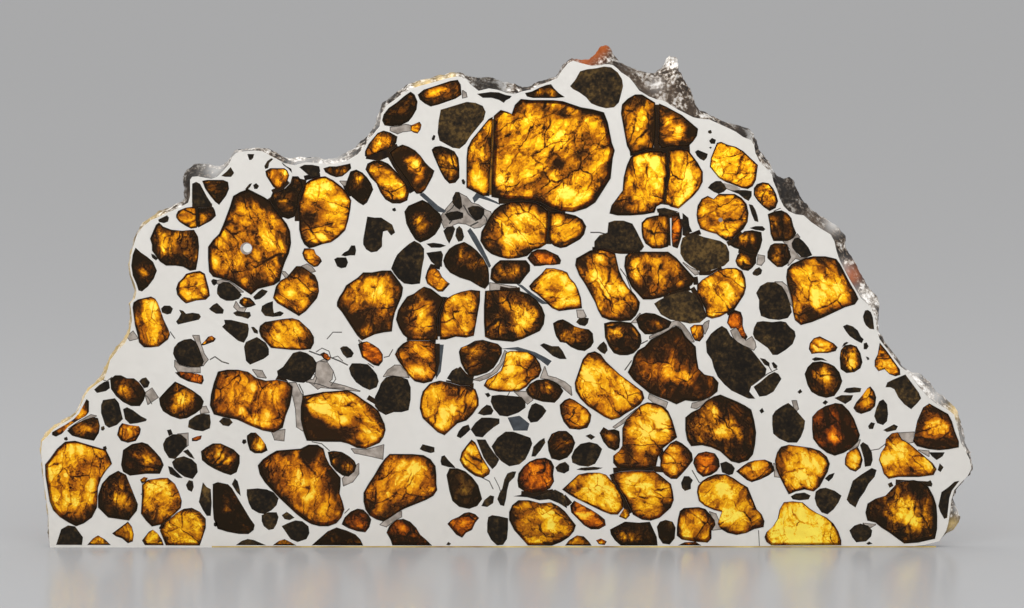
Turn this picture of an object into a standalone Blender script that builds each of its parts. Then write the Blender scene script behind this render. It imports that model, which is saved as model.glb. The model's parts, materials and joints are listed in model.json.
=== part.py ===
# A slice of pallasite meteorite that stands on its straight sawn foot.
# One node is the iron-nickel metal, which grew as one piece. Each large olivine
# crystal is a node of its own, set in a pocket that is open on the polished front face.
# Millimetre sizes below are real sizes. The outlines are given in columns and rows of
# the reference photograph and are turned into millimetres by slab_point.

import math
import random

import bpy
import bmesh
from mathutils import Vector

MM = 0.001

# Driving dimensions
SLICE_WIDTH_MM = 243.6
SLICE_THICKNESS_MM = 5.0
GAP_MM = 0.3
BLIND_DEPTH_MM = 3.4
BLIND_SHRINK = 0.82
BACK_EDGE_INSET_MM = 0.25
RIM_BUMP_MM = 0.22
RIM_SEED = 11
CUTTER_OVERSHOOT_MM = 1.0

# Below this height the rim keeps its plain outline, so that the foot stays flat
FOOT_BAND_MM = 2.0

# The cosine that limits how far a sharp corner moves when a ring is drawn in
CORNER_LIMIT = 0.6

# The slice in the photograph: its widest columns, and the two ends of the sawn foot
LEFT_COLUMN = 39.0
RIGHT_COLUMN = 976.0
FOOT_LEFT = (49.0, 550.3)
FOOT_RIGHT = (905.0, 546.8)

MM_PER_COLUMN = SLICE_WIDTH_MM / (RIGHT_COLUMN - LEFT_COLUMN)
MIDDLE_COLUMN = 507.8  # the column that lies at x = 0
FRONT = -SLICE_THICKNESS_MM / 2
BACK = SLICE_THICKNESS_MM / 2

# Rings that make the natural rim: the depth in millimetres, how far the ring has swept
# out from the edge of the polished front face (0) to the widest outline (1), and the
# least and the most that its points are drawn in, in millimetres
RIM_RINGS = (
    (FRONT, 0.0, 0.0, 0.0),
    (-0.9, 0.5, 0.0, RIM_BUMP_MM),
    (1.0, 0.93, 0.0, RIM_BUMP_MM),
    (BACK, 1.0, BACK_EDGE_INSET_MM, BACK_EDGE_INSET_MM),
)

GOLD = "olivine_gold"
AMBER = "olivine_amber"
ORANGE = "olivine_orange"
BROWN = "olivine_brown"
DARK = "olivine_dark"
METAL = "iron_nickel"

# Base colour, roughness, metallic
MATERIALS = {
    METAL: ((0.62, 0.59, 0.57), 0.30, 1.0),
    GOLD: ((0.86, 0.56, 0.08), 0.18, 0.0),
    AMBER: ((0.72, 0.34, 0.05), 0.20, 0.0),
    ORANGE: ((0.50, 0.15, 0.03), 0.22, 0.0),
    BROWN: ((0.17, 0.08, 0.03), 0.25, 0.0),
    DARK: ((0.04, 0.03, 0.02), 0.28, 0.0),
}

# A crystal that stops inside the metal has this in place of its rear window
BLIND = None

# The rim, round from the left end of the foot: the widest outline of the slice, and
# beside it the edge of the polished front face
RIM = (
    ((49, 550.3), (50, 550.3)), ((47, 541), (49, 541)), ((46, 528), (48.5, 528)),
    ((45.5, 514), (48, 515)), ((44, 500), (46, 500)), ((42, 486), (44, 486)), ((40.5, 470), (42.5, 470)),
    ((39, 454), (41, 454)), ((39.5, 443), (42, 444)), ((44, 436), (48, 438)), ((52, 429), (54, 431)),
    ((61, 424), (62, 426)), ((69, 419.5), (70, 421.5)), ((75, 413), (77, 415)), ((79, 405), (81, 407)),
    ((83, 395), (85.5, 397)), ((88, 389), (90, 391)), ((96, 382), (98, 385)), ((101, 377), (104, 381)),
    ((103, 368), (108, 370)), ((107, 360), (110, 362)), ((115, 350), (117, 353)),
    ((122, 341), (125, 345)), ((127, 332), (130, 334)), ((129, 322), (132, 322)),
    ((128.5, 312), (131, 311)), ((127, 306), (130, 305)), ((132, 299), (135, 300)),
    ((134, 293), (136.5, 293)), ((132, 285), (134.5, 285)), ((129, 277), (131, 277)),
    ((127.5, 267), (129.5, 267)), ((129, 256), (131, 256)), ((132, 244), (134, 245)),
    ((135, 235), (137, 236)), ((141, 226), (143, 228)), ((149, 219), (151, 221.5)),
    ((158, 213), (159, 218)), ((169, 208.5), (170, 213)), ((178, 204), (179, 209)),
    ((184, 199.5), (188, 204)), ((183, 194), (190, 197)), ((181, 187), (190, 188)),
    ((182, 178), (190, 181)), ((186, 171), (192, 178)), ((192, 166), (198, 177.5)),
    ((200, 164.5), (205, 179)), ((208, 165), (211, 180)), ((215, 167.5), (217, 178)),
    ((222, 166), (223, 172)), ((227, 162), (229, 165)), ((230, 156), (232, 158)),
    ((235, 151), (236, 154)), ((244, 150), (244, 152.5)), ((254, 149), (254, 151.5)),
    ((262, 148.5), (262, 152)), ((270, 151), (269, 156)), ((278, 155), (277, 160)),
    ((286, 158.5), (284, 164)), ((295, 159.5), (294, 166)), ((306, 158), (306, 163)),
    ((316, 158), (316, 163.5)), ((326, 160), (326, 165)), ((336, 158), (337, 164)),
    ((345, 154), (347, 161)), ((353, 149), (357, 155)), ((360, 142.5), (364, 147)),
    ((367, 135), (370, 138)), ((375, 123.5), (379, 127)), ((378, 112), (381, 114)),
    ((382, 104), (386, 106)), ((390, 97), (393, 101)), ((399, 90), (402, 94)), ((408, 84), (411, 89)),
    ((418, 81), (420, 86)), ((428, 79), (430, 83.5)), ((438, 76), (440, 80.5)), ((448, 73), (449, 78)),
    ((457, 72), (457, 76.5)), ((465, 75), (464, 79)), ((474, 77.5), (470, 85)), ((484, 77.5), (478, 91)),
    ((492, 78), (488, 88.5)), ((499, 81), (497, 90)), ((508, 82), (506, 93)), ((515, 84), (514, 94)),
    ((521, 88), (521, 91.5)), ((529, 86.5), (530, 89.5)), ((537, 82), (538, 85)), ((546, 80), (547, 82)),
    ((555, 76.5), (556, 78)), ((560, 68), (561.5, 69.5)), ((566, 61), (567, 63)),
    ((571, 58), (572, 60.5)), ((579, 60), (580, 63)), ((588, 59), (590, 65.5)), ((594, 53), (599, 65)),
    ((598, 47), (604, 64)), ((604, 43.5), (608, 64)), ((609, 47), (612, 65)), ((613, 54), (616, 68)),
    ((618, 61), (620, 72)), ((626, 65), (628, 77)), ((635, 68.5), (633, 83)), ((645, 72), (638, 90)),
    ((655, 71.5), (648, 96)), ((661, 67), (656, 99)), ((664, 59), (662, 100)), ((668, 55.5), (666, 102)),
    ((674, 55.5), (670, 105)), ((678, 58), (673, 107)), ((678.5, 68), (677, 109)),
    ((684, 78), (681, 111)), ((691, 90), (686, 113.5)), ((695, 101), (692, 116.5)),
    ((699, 109.5), (699, 118)), ((708, 113), (708, 118.5)), ((718, 119), (718, 123)),
    ((729, 122), (727, 127)), ((739, 124.5), (735, 131)), ((747, 127.5), (742, 136)),
    ((753, 132), (750, 139)), ((756, 139), (753, 144)), ((759, 148), (754.5, 152)),
    ((764, 154), (759, 161)), ((769, 159), (765, 167)), ((772, 168), (771, 173)),
    ((777, 175), (772.5, 180)), ((784, 177), (776, 188)), ((789.5, 175), (779, 197)),
    ((795, 182), (783, 205)), ((798, 190), (788, 210)), ((804, 200), (795, 213)),
    ((812, 209), (803, 214)), ((822, 215), (811, 221)), ((832, 221), (820, 227)),
    ((841, 227), (830, 233)), ((846.5, 235), (834, 240)), ((847, 246), (836, 249)),
    ((852, 254), (839, 258)), ((858, 265), (843, 266)), ((864, 277), (849, 277)),
    ((871, 288), (855, 287)), ((878, 296), (861, 297)), ((882, 304), (868, 303)),
    ((880.5, 312), (873, 310)), ((879, 320), (876, 319)), ((880.5, 330), (877, 329)),
    ((885, 339), (880, 338)), ((892, 349), (887, 347)), ((899, 358), (894, 356)),
    ((906, 366), (901, 365)), ((914, 372), (907, 370)), ((924, 373), (914, 378)),
    ((931, 381), (921, 387)), ((939, 391), (929, 396)), ((949, 398), (938, 403)),
    ((957, 406), (947, 407)), ((962, 418), (955, 413)), ((966, 430), (959, 428)),
    ((968.5, 442), (962, 441)), ((974, 455), (971, 458)), ((976, 465), (973, 467)),
    ((973, 475), (969, 475)), ((966, 482), (963, 481)), ((959, 490), (956, 489)),
    ((955.5, 499), (953, 499)), ((960, 508), (952, 508)), ((964, 517), (951, 517)),
    ((963, 523), (950, 523)), ((956, 531), (948, 530)), ((948, 536), (945, 535)),
    ((941, 540.5), (941, 540.5)), ((926, 544.3), (926, 544.3)), ((905, 546.8), (905, 546.8)),
)

# The large crystals: name, colour, rear window and front outline. The rear window is
# the middle and the scale of the outline on the back face, which is where light comes
# through.
CRYSTALS = (
    ("olivine_crystal_01", DARK, BLIND, (
        (569, 86), (574, 80), (579, 71), (586, 69), (595, 68), (603, 66.2), (610, 67), (616.5, 72),
        (621, 79), (622, 86), (618, 102), (613, 107), (605, 108), (597, 106), (590, 103), (585, 97),
        (578, 92), (572, 89))),
    ("olivine_crystal_02", AMBER, (414, 167, 0.6), (
        (389, 153), (395, 148), (402, 145), (408, 147), (415, 151), (420, 156), (425, 163), (430, 168),
        (434, 171), (432, 177), (425, 190), (421, 194), (416, 194), (411, 188), (406, 180), (394, 164))),
    ("olivine_crystal_03", BROWN, BLIND, (
        (440, 110), (466, 102), (475, 103), (482, 106), (485, 112), (483, 120), (470, 136), (465, 144),
        (459, 149), (452, 148), (439, 141), (437, 133), (438, 121))),
    ("olivine_crystal_04", GOLD, (478, 165, 0.85), (
        (466, 188), (466, 158), (467, 148), (471, 140), (488, 119), (492, 117), (491, 132), (491, 148),
        (489, 180), (489, 196), (482, 196))),
    ("olivine_crystal_05", GOLD, (551, 158, 0.9), (
        (493, 116), (500, 110), (507, 112), (511, 114), (514, 105), (520, 99), (530, 100), (552, 100),
        (562, 101), (580, 107), (592, 109), (603, 112), (607, 122), (611, 142), (614, 150), (612, 158),
        (610, 178), (595, 202), (586, 208), (573, 212), (560, 211), (549, 207), (540, 202), (530, 200),
        (516, 200), (502, 199), (491, 197), (491, 180), (493, 138))),
    ("olivine_crystal_06", GOLD, (637, 128, 0.8), (
        (621, 104), (627, 98), (634, 94), (641, 94), (654, 102), (655, 114), (655, 127), (654, 140),
        (652, 149), (645, 149), (637, 152), (630, 153), (626, 145), (620, 113))),
    ("olivine_crystal_07", GOLD, (641, 183, 0.88), (
        (630, 156), (640, 152), (650, 150), (660, 150), (666, 152), (666, 163), (667, 176), (664, 190),
        (663, 202), (656, 206), (654, 212), (643, 214), (630, 215), (617, 215), (609, 213), (611, 205),
        (622, 190), (623, 177), (626, 165))),
    ("olivine_crystal_08", AMBER, (671, 127, 0.62), (
        (658, 103), (665, 106), (681, 114.5), (697, 128), (696, 135), (692, 141), (687, 146),
        (669, 146), (661, 148), (657, 143), (658, 130))),
    ("olivine_crystal_09", GOLD, (684, 178, 0.9), (
        (669, 149), (680, 148), (687, 149), (697, 162), (702, 171), (702, 181), (698, 189), (692, 196),
        (678, 208), (670, 206), (665, 202), (666, 190), (669, 175), (668, 162))),
    ("olivine_crystal_10", GOLD, (732, 164, 0.95), (
        (716, 142), (720, 141), (727, 144), (735, 146), (742, 150), (757, 164), (755, 179), (752, 185),
        (747, 188), (741, 187), (725, 181), (718, 177), (709, 166), (710, 157))),
    ("olivine_crystal_11", BROWN, (166, 242, 0.48), (
        (152, 246), (150, 240), (156, 226), (159, 224), (163, 228), (171, 231), (182, 232), (194, 231),
        (198, 238), (199, 248), (198, 260), (196, 271), (190, 272), (183, 268), (176, 267), (166, 267),
        (160, 263), (152, 252))),
    ("olivine_crystal_12", GOLD, (245, 245, 0.86), (
        (248, 190), (264, 198), (270, 202), (275, 210), (287, 225), (290, 232), (291, 244), (289, 254),
        (285, 263), (282, 272), (280, 282), (274, 286), (258, 290), (251, 296), (230, 282), (213, 278),
        (209, 273), (208, 260), (208, 248), (213, 241), (219, 235), (223, 226), (230, 207), (233, 197),
        (240, 193))),
    ("olivine_crystal_13", GOLD, (326, 211, 0.92), (
        (303, 190), (304, 185), (309, 181), (316, 178), (325, 177), (333, 181), (341, 187), (347, 193),
        (351, 201), (350, 211), (348, 221), (345, 231), (338, 238), (331, 243), (322, 245), (314, 248),
        (309, 249), (304, 245), (301, 239), (299, 230), (299, 220), (298, 211), (299, 202))),
    ("olivine_crystal_14", GOLD, (519, 229, 0.82), (
        (480, 241), (481, 232), (489, 217), (494, 210), (500, 205), (510, 202), (522, 201), (534, 202),
        (542, 206), (548, 211), (548, 222), (546, 244), (540, 248), (533, 250), (527, 256), (518, 258),
        (508, 259), (499, 257), (491, 254), (485, 249))),
    ("olivine_crystal_15", BROWN, BLIND, (
        (682, 237), (688, 234), (695, 233), (703, 236), (720, 240), (726, 244), (729, 251), (729, 260),
        (724, 265), (706, 271), (698, 270), (690, 265), (684, 260), (680, 253), (680, 245))),
    ("olivine_crystal_16", GOLD, (720, 215, 0.94), (
        (696, 214), (697, 205), (701, 198), (707, 195), (713, 198), (718, 193), (734, 193), (741, 197),
        (746, 203), (748, 212), (747, 221), (743, 228), (731, 239), (726, 240), (721, 237), (716, 233),
        (708, 231), (700, 228), (697, 221))),
    ("olivine_crystal_17", GOLD, (150, 320, 0.85), (
        (133.5, 304), (138, 301), (151, 298), (155, 300), (158, 305), (164, 322), (168, 330),
        (170, 336), (168, 341), (159, 348), (151, 349), (144, 349), (139, 344), (138, 338), (135, 327),
        (132.6, 309))),
    ("olivine_crystal_18", GOLD, (289, 335, 0.9), (
        (259, 332), (260, 327), (265, 323), (282, 320), (292, 319), (299, 321), (310, 331), (314, 338),
        (314, 344), (311, 350), (303, 351), (292, 351), (271, 349), (261, 338))),
    ("olivine_crystal_19", GOLD, (300, 291, 0.88), (
        (276, 287), (281, 281), (287, 278), (296, 267), (302, 267), (315, 276), (318, 283), (319, 292),
        (317, 299), (306, 312), (299, 317), (277, 304), (273, 299))),
    ("olivine_crystal_20", GOLD, (371, 297, 0.8), (
        (337, 303), (339, 298), (343, 292), (346, 286), (358, 278), (363, 273), (372, 273), (382, 271),
        (391, 271), (400, 283), (403, 288), (402, 296), (395, 313), (393, 322), (392, 332), (384, 333),
        (375, 335), (362, 341), (357, 336), (342, 313), (337, 307))),
    ("olivine_crystal_21", GOLD, (421, 315, 0.66), (
        (396, 320), (398, 311), (402, 304), (407, 297), (414, 294), (419, 290), (424, 287), (431, 289),
        (444, 299), (438, 314), (437, 324), (438, 333), (438, 340), (429, 341), (418, 341), (409, 340),
        (403, 335), (399, 328))),
    ("olivine_crystal_22", GOLD, (457, 316, 0.84), (
        (446, 299), (453, 295), (461, 292), (471, 290), (480, 291), (480, 301), (474, 336), (466, 338),
        (456, 337), (446, 340), (440, 340), (440, 316), (443, 306))),
    ("olivine_crystal_23", BROWN, (461, 257, 0.25), (
        (445, 255), (449, 249), (455, 245), (464, 242), (471, 246), (477, 251), (483, 258), (488, 267),
        (489, 275), (489, 284), (485, 289), (480, 287), (470, 281), (460, 278), (450, 273), (445, 267),
        (443, 261))),
    ("olivine_crystal_24", BROWN, (528, 320, 0.42), (
        (485, 291), (496, 290), (508, 290), (520, 291), (529, 294), (536, 299), (542, 307), (545, 315),
        (544, 324), (540, 331), (523, 339), (513, 342), (491, 340), (485, 337), (484, 322), (484, 306))),
    ("olivine_crystal_25", GOLD, (560, 290, 0.96), (
        (529, 286), (534, 280), (541, 274), (546, 268), (554, 268), (562, 270), (567, 272), (570, 278),
        (575, 283), (578, 289), (581, 298), (582, 308), (559, 311), (552, 308), (537, 294), (531, 290))),
    ("olivine_crystal_26", GOLD, (606, 284, 0.84), (
        (575, 265), (576, 258), (590, 250), (600, 248), (609, 250), (615, 253), (619, 270), (623, 279),
        (628, 287), (635, 294), (640, 302), (639, 309), (636, 315), (631, 320), (620, 321), (610, 320),
        (602, 317), (598, 310), (595, 302), (585, 284), (579, 275))),
    ("olivine_crystal_27", GOLD, (657, 272, 0.85), (
        (625, 256), (629, 252), (640, 251), (668, 251), (676, 257), (695, 278), (692, 284), (688, 287),
        (669, 293), (661, 297), (652, 299), (643, 299), (631, 286), (627, 277), (624, 266))),
    ("olivine_crystal_28", DARK, BLIND, (
        (654, 303), (660, 299), (668, 295), (678, 292), (688, 290), (694, 293), (699, 301), (703, 309),
        (706, 317), (700, 322), (690, 323), (670, 319), (661, 314))),
    ("olivine_crystal_29", GOLD, (720, 291, 0.93), (
        (697, 284), (702, 279), (718, 269), (727, 267), (736, 267), (742, 270), (745, 277), (746, 286),
        (744, 294), (735, 308), (720, 316), (712, 318), (707, 316), (705, 308), (697, 292))),
    ("olivine_crystal_30", GOLD, (818, 287, 0.83), (
        (786, 276), (787, 268), (791, 263), (804, 257), (813, 255), (825, 255), (836, 257.5),
        (840, 263), (850.5, 283), (855.5, 291), (858.5, 297.5), (855, 303), (845, 306), (824, 316),
        (812, 321), (801, 324), (795, 319), (793, 311), (792, 301), (790, 291), (787, 283))),
    ("olivine_crystal_31", AMBER, (249, 403, 0.93), (
        (218, 373), (227, 371), (238, 371), (248, 373), (256, 379), (266, 382), (278, 381), (288, 383),
        (293, 388), (292, 397), (290, 407), (286, 417), (283, 429), (274, 434), (263, 432), (250, 427),
        (237, 421), (225, 419), (214, 416), (210, 407), (211, 396), (214, 384))),
    ("olivine_crystal_32", DARK, BLIND, (
        (381, 384), (386, 378), (393, 376), (400, 377), (408, 380), (411, 388), (411, 400), (409, 411),
        (402, 413), (394, 413), (386, 416), (379, 412), (375, 407), (375, 398), (379, 390))),
    ("olivine_crystal_33", AMBER, (417, 361, 0.9), (
        (395, 355), (398, 349), (403, 344), (409, 341), (430, 341), (436, 344), (436, 355), (437, 366),
        (436, 376), (432, 382), (424, 384), (415, 382), (409, 376), (398, 361))),
    ("olivine_crystal_34", GOLD, (449, 407, 0.83), (
        (423, 392), (430, 384), (440, 381), (450, 383), (460, 386), (470, 386), (476, 390), (479, 399),
        (479, 406), (473, 415), (467, 421), (458, 424), (445, 436), (438, 433), (423, 419), (420, 409),
        (421, 399))),
    ("olivine_crystal_35", BROWN, (477, 354, 0.5), (
        (459, 352), (461, 348), (468, 345), (475, 341), (483, 340), (498, 344), (502, 348), (502, 354),
        (498, 362), (494, 368), (487, 373), (478, 376), (470, 377), (465, 371), (461, 363))),
    ("olivine_crystal_36", GOLD, (514, 369, 0.92), (
        (506, 353), (511, 351), (518, 351), (528, 352), (535, 356), (540, 363), (542, 370), (539, 377),
        (532, 381), (527, 387), (520, 391), (510, 392), (499, 392), (489, 390), (484, 386), (487, 380),
        (494, 376), (501, 371), (504, 363))),
    ("olivine_crystal_37", GOLD, (604, 385, 0.92), (
        (575, 383), (583, 359), (588, 353), (595, 351), (601, 354), (606, 361), (620, 374), (643, 391),
        (645, 398), (641, 404), (634, 409), (627, 413), (620, 418), (612, 420), (605, 417), (588, 406),
        (581, 399), (576, 391))),
    ("olivine_crystal_38", AMBER, (681, 375, 0.42), (
        (628, 372), (632, 364), (634, 356), (638, 350), (645, 346), (651, 339), (659, 335), (676, 325),
        (682, 329), (686, 336), (696, 346), (697, 357), (699, 368), (705, 374), (714, 376), (719, 382),
        (718, 391), (712, 396), (703, 400), (694, 401), (686, 400), (677, 404), (668, 400), (659, 397),
        (650, 393), (634, 380))),
    ("olivine_crystal_39", DARK, BLIND, (
        (706, 341), (711, 333), (717, 328), (722, 325), (727, 328), (731, 335), (738, 341), (752, 349),
        (767, 368), (766, 374), (752, 385), (750, 391), (756, 398), (749, 398), (732, 390), (725, 384),
        (718, 376), (714, 367), (712, 359), (707, 352))),
    ("olivine_crystal_40", GOLD, (71, 482, 0.9), (
        (45, 467), (50, 461), (57, 451), (65, 444), (75, 443), (106, 452), (110, 460), (112, 466),
        (106, 473), (101, 481), (98, 490), (97, 510), (92, 520), (84, 526), (76, 529), (68, 525),
        (60, 520), (53, 513), (49.5, 504), (45.3, 478))),
    ("olivine_crystal_41", AMBER, (303, 490, 0.83), (
        (258, 467), (263, 461), (270, 456), (277, 452), (301, 450), (309, 446), (318, 446), (324, 450),
        (326, 458), (330, 466), (341, 479), (341, 487), (340, 495), (343, 503), (345, 511), (342, 519),
        (337, 525), (329, 528), (320, 528), (312, 526), (305, 522), (297, 516), (280, 500), (265, 484),
        (260, 476))),
    ("olivine_crystal_42", GOLD, (341, 414, 0.84), (
        (303, 397), (323, 393), (348, 391), (356, 395), (364, 401), (372, 406), (379, 412), (385, 425),
        (386, 431), (384, 438), (380, 444), (366, 450), (357, 449), (349, 445), (341, 443), (325, 443),
        (307, 442), (304, 434), (301, 421), (301, 408))),
    ("olivine_crystal_43", GOLD, (646, 430, 0.8), (
        (614, 456), (620, 451), (623, 446), (623, 428), (627, 419), (641, 405), (648, 402), (656, 403),
        (664, 406), (669, 411), (673, 420), (678, 437), (664, 448), (659, 457), (657, 466), (645, 469),
        (630, 469), (618, 468), (614, 463))),
    ("olivine_crystal_44", BROWN, (714, 420, 0.48), (
        (686, 417), (692, 412), (700, 408), (706, 401), (714, 396), (721, 394), (738, 401), (746, 405),
        (752, 409), (755, 420), (757, 432), (756, 444), (754, 454), (749, 460), (740, 463), (732, 461),
        (721, 451), (712, 447), (703, 445), (692, 446), (688, 440), (686, 430))),
    ("olivine_crystal_45", GOLD, (804, 469, 0.86), (
        (776, 460), (778, 452), (782, 446), (790, 444), (812, 447), (821, 450), (828, 456), (831, 463),
        (829, 471), (821, 486), (815, 491), (806, 489), (797, 491), (790, 494), (781, 477), (777, 468))),
    ("olivine_crystal_46", ORANGE, (837, 437, 0.4), (
        (813, 416), (818, 410), (826, 405), (836, 402), (843, 403), (850, 410), (855, 418), (861, 434),
        (859, 441), (853, 447), (845, 452), (836, 455), (828, 452), (820, 446), (814, 438), (813, 428))),
    ("olivine_crystal_47", GOLD, (908, 459, 0.88), (
        (880, 459), (882, 452), (886, 446), (887, 438), (893, 432), (899, 431), (903, 438), (910, 442),
        (934, 462), (938, 468), (935, 474), (920, 476), (900, 476), (890, 478), (885, 473), (883, 466))),
    ("olivine_crystal_48", AMBER, (934, 424, 0.6), (
        (914, 440), (918, 420), (924, 406), (930, 402), (949, 412.5), (953, 420), (956, 430),
        (960, 440), (960, 446), (950, 448), (940, 449), (930, 448), (918, 445))),
    ("olivine_crystal_49", BROWN, (119, 497, 0.6), (
        (118, 473), (126, 477), (138, 507), (137, 513), (129, 523), (108, 520), (98, 510), (98, 498),
        (102, 486), (109, 478))),
    ("olivine_crystal_50", GOLD, (159, 497, 0.75), (
        (142, 487), (148, 482), (160, 480), (168, 480), (175, 486), (179, 494), (182, 503), (181, 510),
        (175, 516), (161, 527), (152, 529), (146, 523), (141, 516), (142, 500))),
    ("olivine_crystal_51", GOLD, (184, 532, 0.87), (
        (184, 511), (192, 510), (200, 514), (206, 521), (206, 530), (200, 547.8), (166, 547.8),
        (160, 533), (163, 527), (177, 515))),
    ("olivine_crystal_52", BROWN, (228, 512, 0.25), (
        (213, 486), (218, 484), (228, 486), (232, 490), (250, 520), (255, 527), (254, 532), (249, 536),
        (239, 536), (228, 534), (218, 531), (214, 521), (213, 508))),
    ("olivine_crystal_53", AMBER, (403, 481, 0.88), (
        (390, 455), (413, 455), (424, 456), (431, 460), (436, 467), (437, 476), (437, 485), (438, 491),
        (434, 497), (427, 501), (405, 510), (398, 514), (391, 519), (384, 523), (377, 521), (370, 517),
        (366, 511), (364, 503), (364, 494), (369, 485), (375, 476), (380, 467), (385, 460))),
    ("olivine_crystal_54", GOLD, (543, 525, 0.88), (
        (510, 513), (513, 506), (519, 501), (530, 501), (541, 504), (552, 503), (560, 507), (566, 512),
        (577, 526), (575, 532), (570, 538), (562, 543), (553, 546.5), (529, 546.5), (515, 531),
        (510, 521))),
    ("olivine_crystal_55", GOLD, (594, 492, 0.9), (
        (563, 490), (579, 475), (588, 473), (600, 473), (607, 475), (617, 486), (625, 501), (624, 509),
        (619, 515), (612, 515), (604, 512), (577, 499), (570, 495))),
    ("olivine_crystal_56", GOLD, (643, 492, 0.86), (
        (613, 474), (620, 472), (632, 471), (655, 471), (661, 475), (672, 484), (674, 492), (675, 500),
        (672, 508), (661, 518), (652, 521), (643, 520), (634, 515), (626, 498), (615, 481))),
    ("olivine_crystal_57", GOLD, (730, 500, 0.85), (
        (698, 492), (699, 486), (703, 481), (709, 477), (717, 474), (727, 474), (735, 478), (742, 483),
        (749, 487), (758, 509), (763, 514), (766, 521), (765, 527), (756, 529), (748, 533), (738, 535),
        (729, 533), (722, 529), (719, 524), (723, 512), (715, 510), (706, 506), (700, 501))),
    ("olivine_crystal_58", GOLD, (805, 526, 0.94), (
        (766, 537), (768, 532), (774, 527), (779, 519), (781, 509), (785, 502), (794, 501), (804, 502),
        (811, 508), (819, 513), (828, 517), (835, 523), (840, 531), (843, 540), (843, 545),
        (773, 545.4), (768, 542))),
    ("olivine_crystal_59", BROWN, (911, 508, 0.6), (
        (869, 503), (877, 498), (887, 495), (898, 483), (905, 480), (915, 479), (923, 481), (930, 486),
        (935, 495), (938, 504), (939, 515), (939, 528), (937, 538), (920, 542), (906, 543), (891, 532),
        (883, 527), (877, 522), (869, 520), (867, 512))),
)


def slab_point(column, row, depth_mm=0.0):
    """A point of the photograph on the slice, in metres, with the foot level at z = 0."""
    run = FOOT_RIGHT[0] - FOOT_LEFT[0]
    rise = FOOT_LEFT[1] - FOOT_RIGHT[1]
    foot_length = math.hypot(run, rise)
    across = column - FOOT_LEFT[0]
    up = FOOT_LEFT[1] - row
    along_foot = (across * run + up * rise) / foot_length
    above_foot = (up * run - across * rise) / foot_length
    x_mm = (along_foot + FOOT_LEFT[0] - MIDDLE_COLUMN) * MM_PER_COLUMN
    z_mm = above_foot * MM_PER_COLUMN
    return Vector((x_mm * MM, depth_mm * MM, max(z_mm, 0.0) * MM))


def ring_at(outline, depth_mm):
    """An outline of the photograph laid at one depth of the slice."""
    return [slab_point(column, row, depth_mm) for column, row in outline]


def inset(ring, distances_mm):
    """The same ring with each point drawn in by its distance, at its own depth."""
    count = len(ring)
    area = sum(ring[i - 1].x * ring[i].z - ring[i].x * ring[i - 1].z for i in range(count))
    inward = 1.0 if area > 0 else -1.0
    moved = []
    for i, point in enumerate(ring):
        before = (point - ring[i - 1]).normalized()
        after = (ring[(i + 1) % count] - point).normalized()
        normal = Vector((-before.z - after.z, 0.0, before.x + after.x)) * inward
        normal.normalize()
        square = Vector((-after.z, 0.0, after.x)) * inward
        stretch = 1.0 / max(normal.dot(square), CORNER_LIMIT)
        moved.append(point + normal * distances_mm[i] * MM * stretch)
    return moved


def rear_outline(outline, window):
    """The outline on the back face, drawn in towards the middle of the window."""
    if window is BLIND:
        middle_column = sum(point[0] for point in outline) / len(outline)
        middle_row = sum(point[1] for point in outline) / len(outline)
        scale = BLIND_SHRINK
    else:
        middle_column, middle_row, scale = window
    return [
        (middle_column + (column - middle_column) * scale, middle_row + (row - middle_row) * scale)
        for column, row in outline
    ]


def closed_mesh(name, rings):
    """A closed solid through rings of the same length, with flat ends."""
    bm = bmesh.new()
    rows = [[bm.verts.new(point) for point in ring] for ring in rings]
    for near, far in zip(rows, rows[1:]):
        for i in range(len(near)):
            j = (i + 1) % len(near)
            bm.faces.new((near[i], near[j], far[j], far[i]))
    bm.faces.new(rows[0])
    bm.faces.new(reversed(rows[-1]))
    bmesh.ops.recalc_face_normals(bm, faces=bm.faces)
    mesh = bpy.data.meshes.new(name)
    bm.to_mesh(mesh)
    bm.free()
    return mesh


def add_object(name, mesh, material):
    body = bpy.data.objects.new(name, mesh)
    if material:
        mesh.materials.append(material)
    bpy.context.scene.collection.objects.link(body)
    return body


def clear_scene():
    for old in list(bpy.data.objects):
        bpy.data.objects.remove(old, do_unlink=True)


def make_materials():
    made = {}
    for name, (colour, roughness, metallic) in MATERIALS.items():
        material = bpy.data.materials.new(name)
        material.use_nodes = True
        shader = material.node_tree.nodes["Principled BSDF"]
        shader.inputs["Base Color"].default_value = (*colour, 1.0)
        shader.inputs["Roughness"].default_value = roughness
        shader.inputs["Metallic"].default_value = metallic
        made[name] = material
    return made


def rim_ring(depth_mm, sweep, distances_mm):
    """One ring of the rim, between the front face's edge and the widest outline."""
    ring = []
    for outer, front in RIM:
        column = front[0] + (outer[0] - front[0]) * sweep
        row = front[1] + (outer[1] - front[1]) * sweep
        ring.append(slab_point(column, row, depth_mm))
    foot = FOOT_BAND_MM * MM
    kept_at_foot = [0.0 if point.z < foot else distance for point, distance in zip(ring, distances_mm)]
    return inset(ring, kept_at_foot)


def make_metal(material):
    """The metal: a slab with a natural rim that widens towards the back."""
    chance = random.Random(RIM_SEED)
    rings = []
    for depth_mm, sweep, least_mm, most_mm in RIM_RINGS:
        distances_mm = [chance.uniform(least_mm, most_mm) for _ in RIM]
        rings.append(rim_ring(depth_mm, sweep, distances_mm))
    return add_object("metal_matrix", closed_mesh("metal_matrix", rings), material)


def crystal_rings(outline, window, margin_mm):
    """Front and rear ring of a crystal, drawn in by a margin all round."""
    rear_depth = BACK
    if window is BLIND:
        rear_depth = FRONT + BLIND_DEPTH_MM - margin_mm
    margins = [margin_mm] * len(outline)
    front = inset(ring_at(outline, FRONT), margins)
    rear = inset(ring_at(rear_outline(outline, window), rear_depth), margins)
    return front, rear


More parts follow.
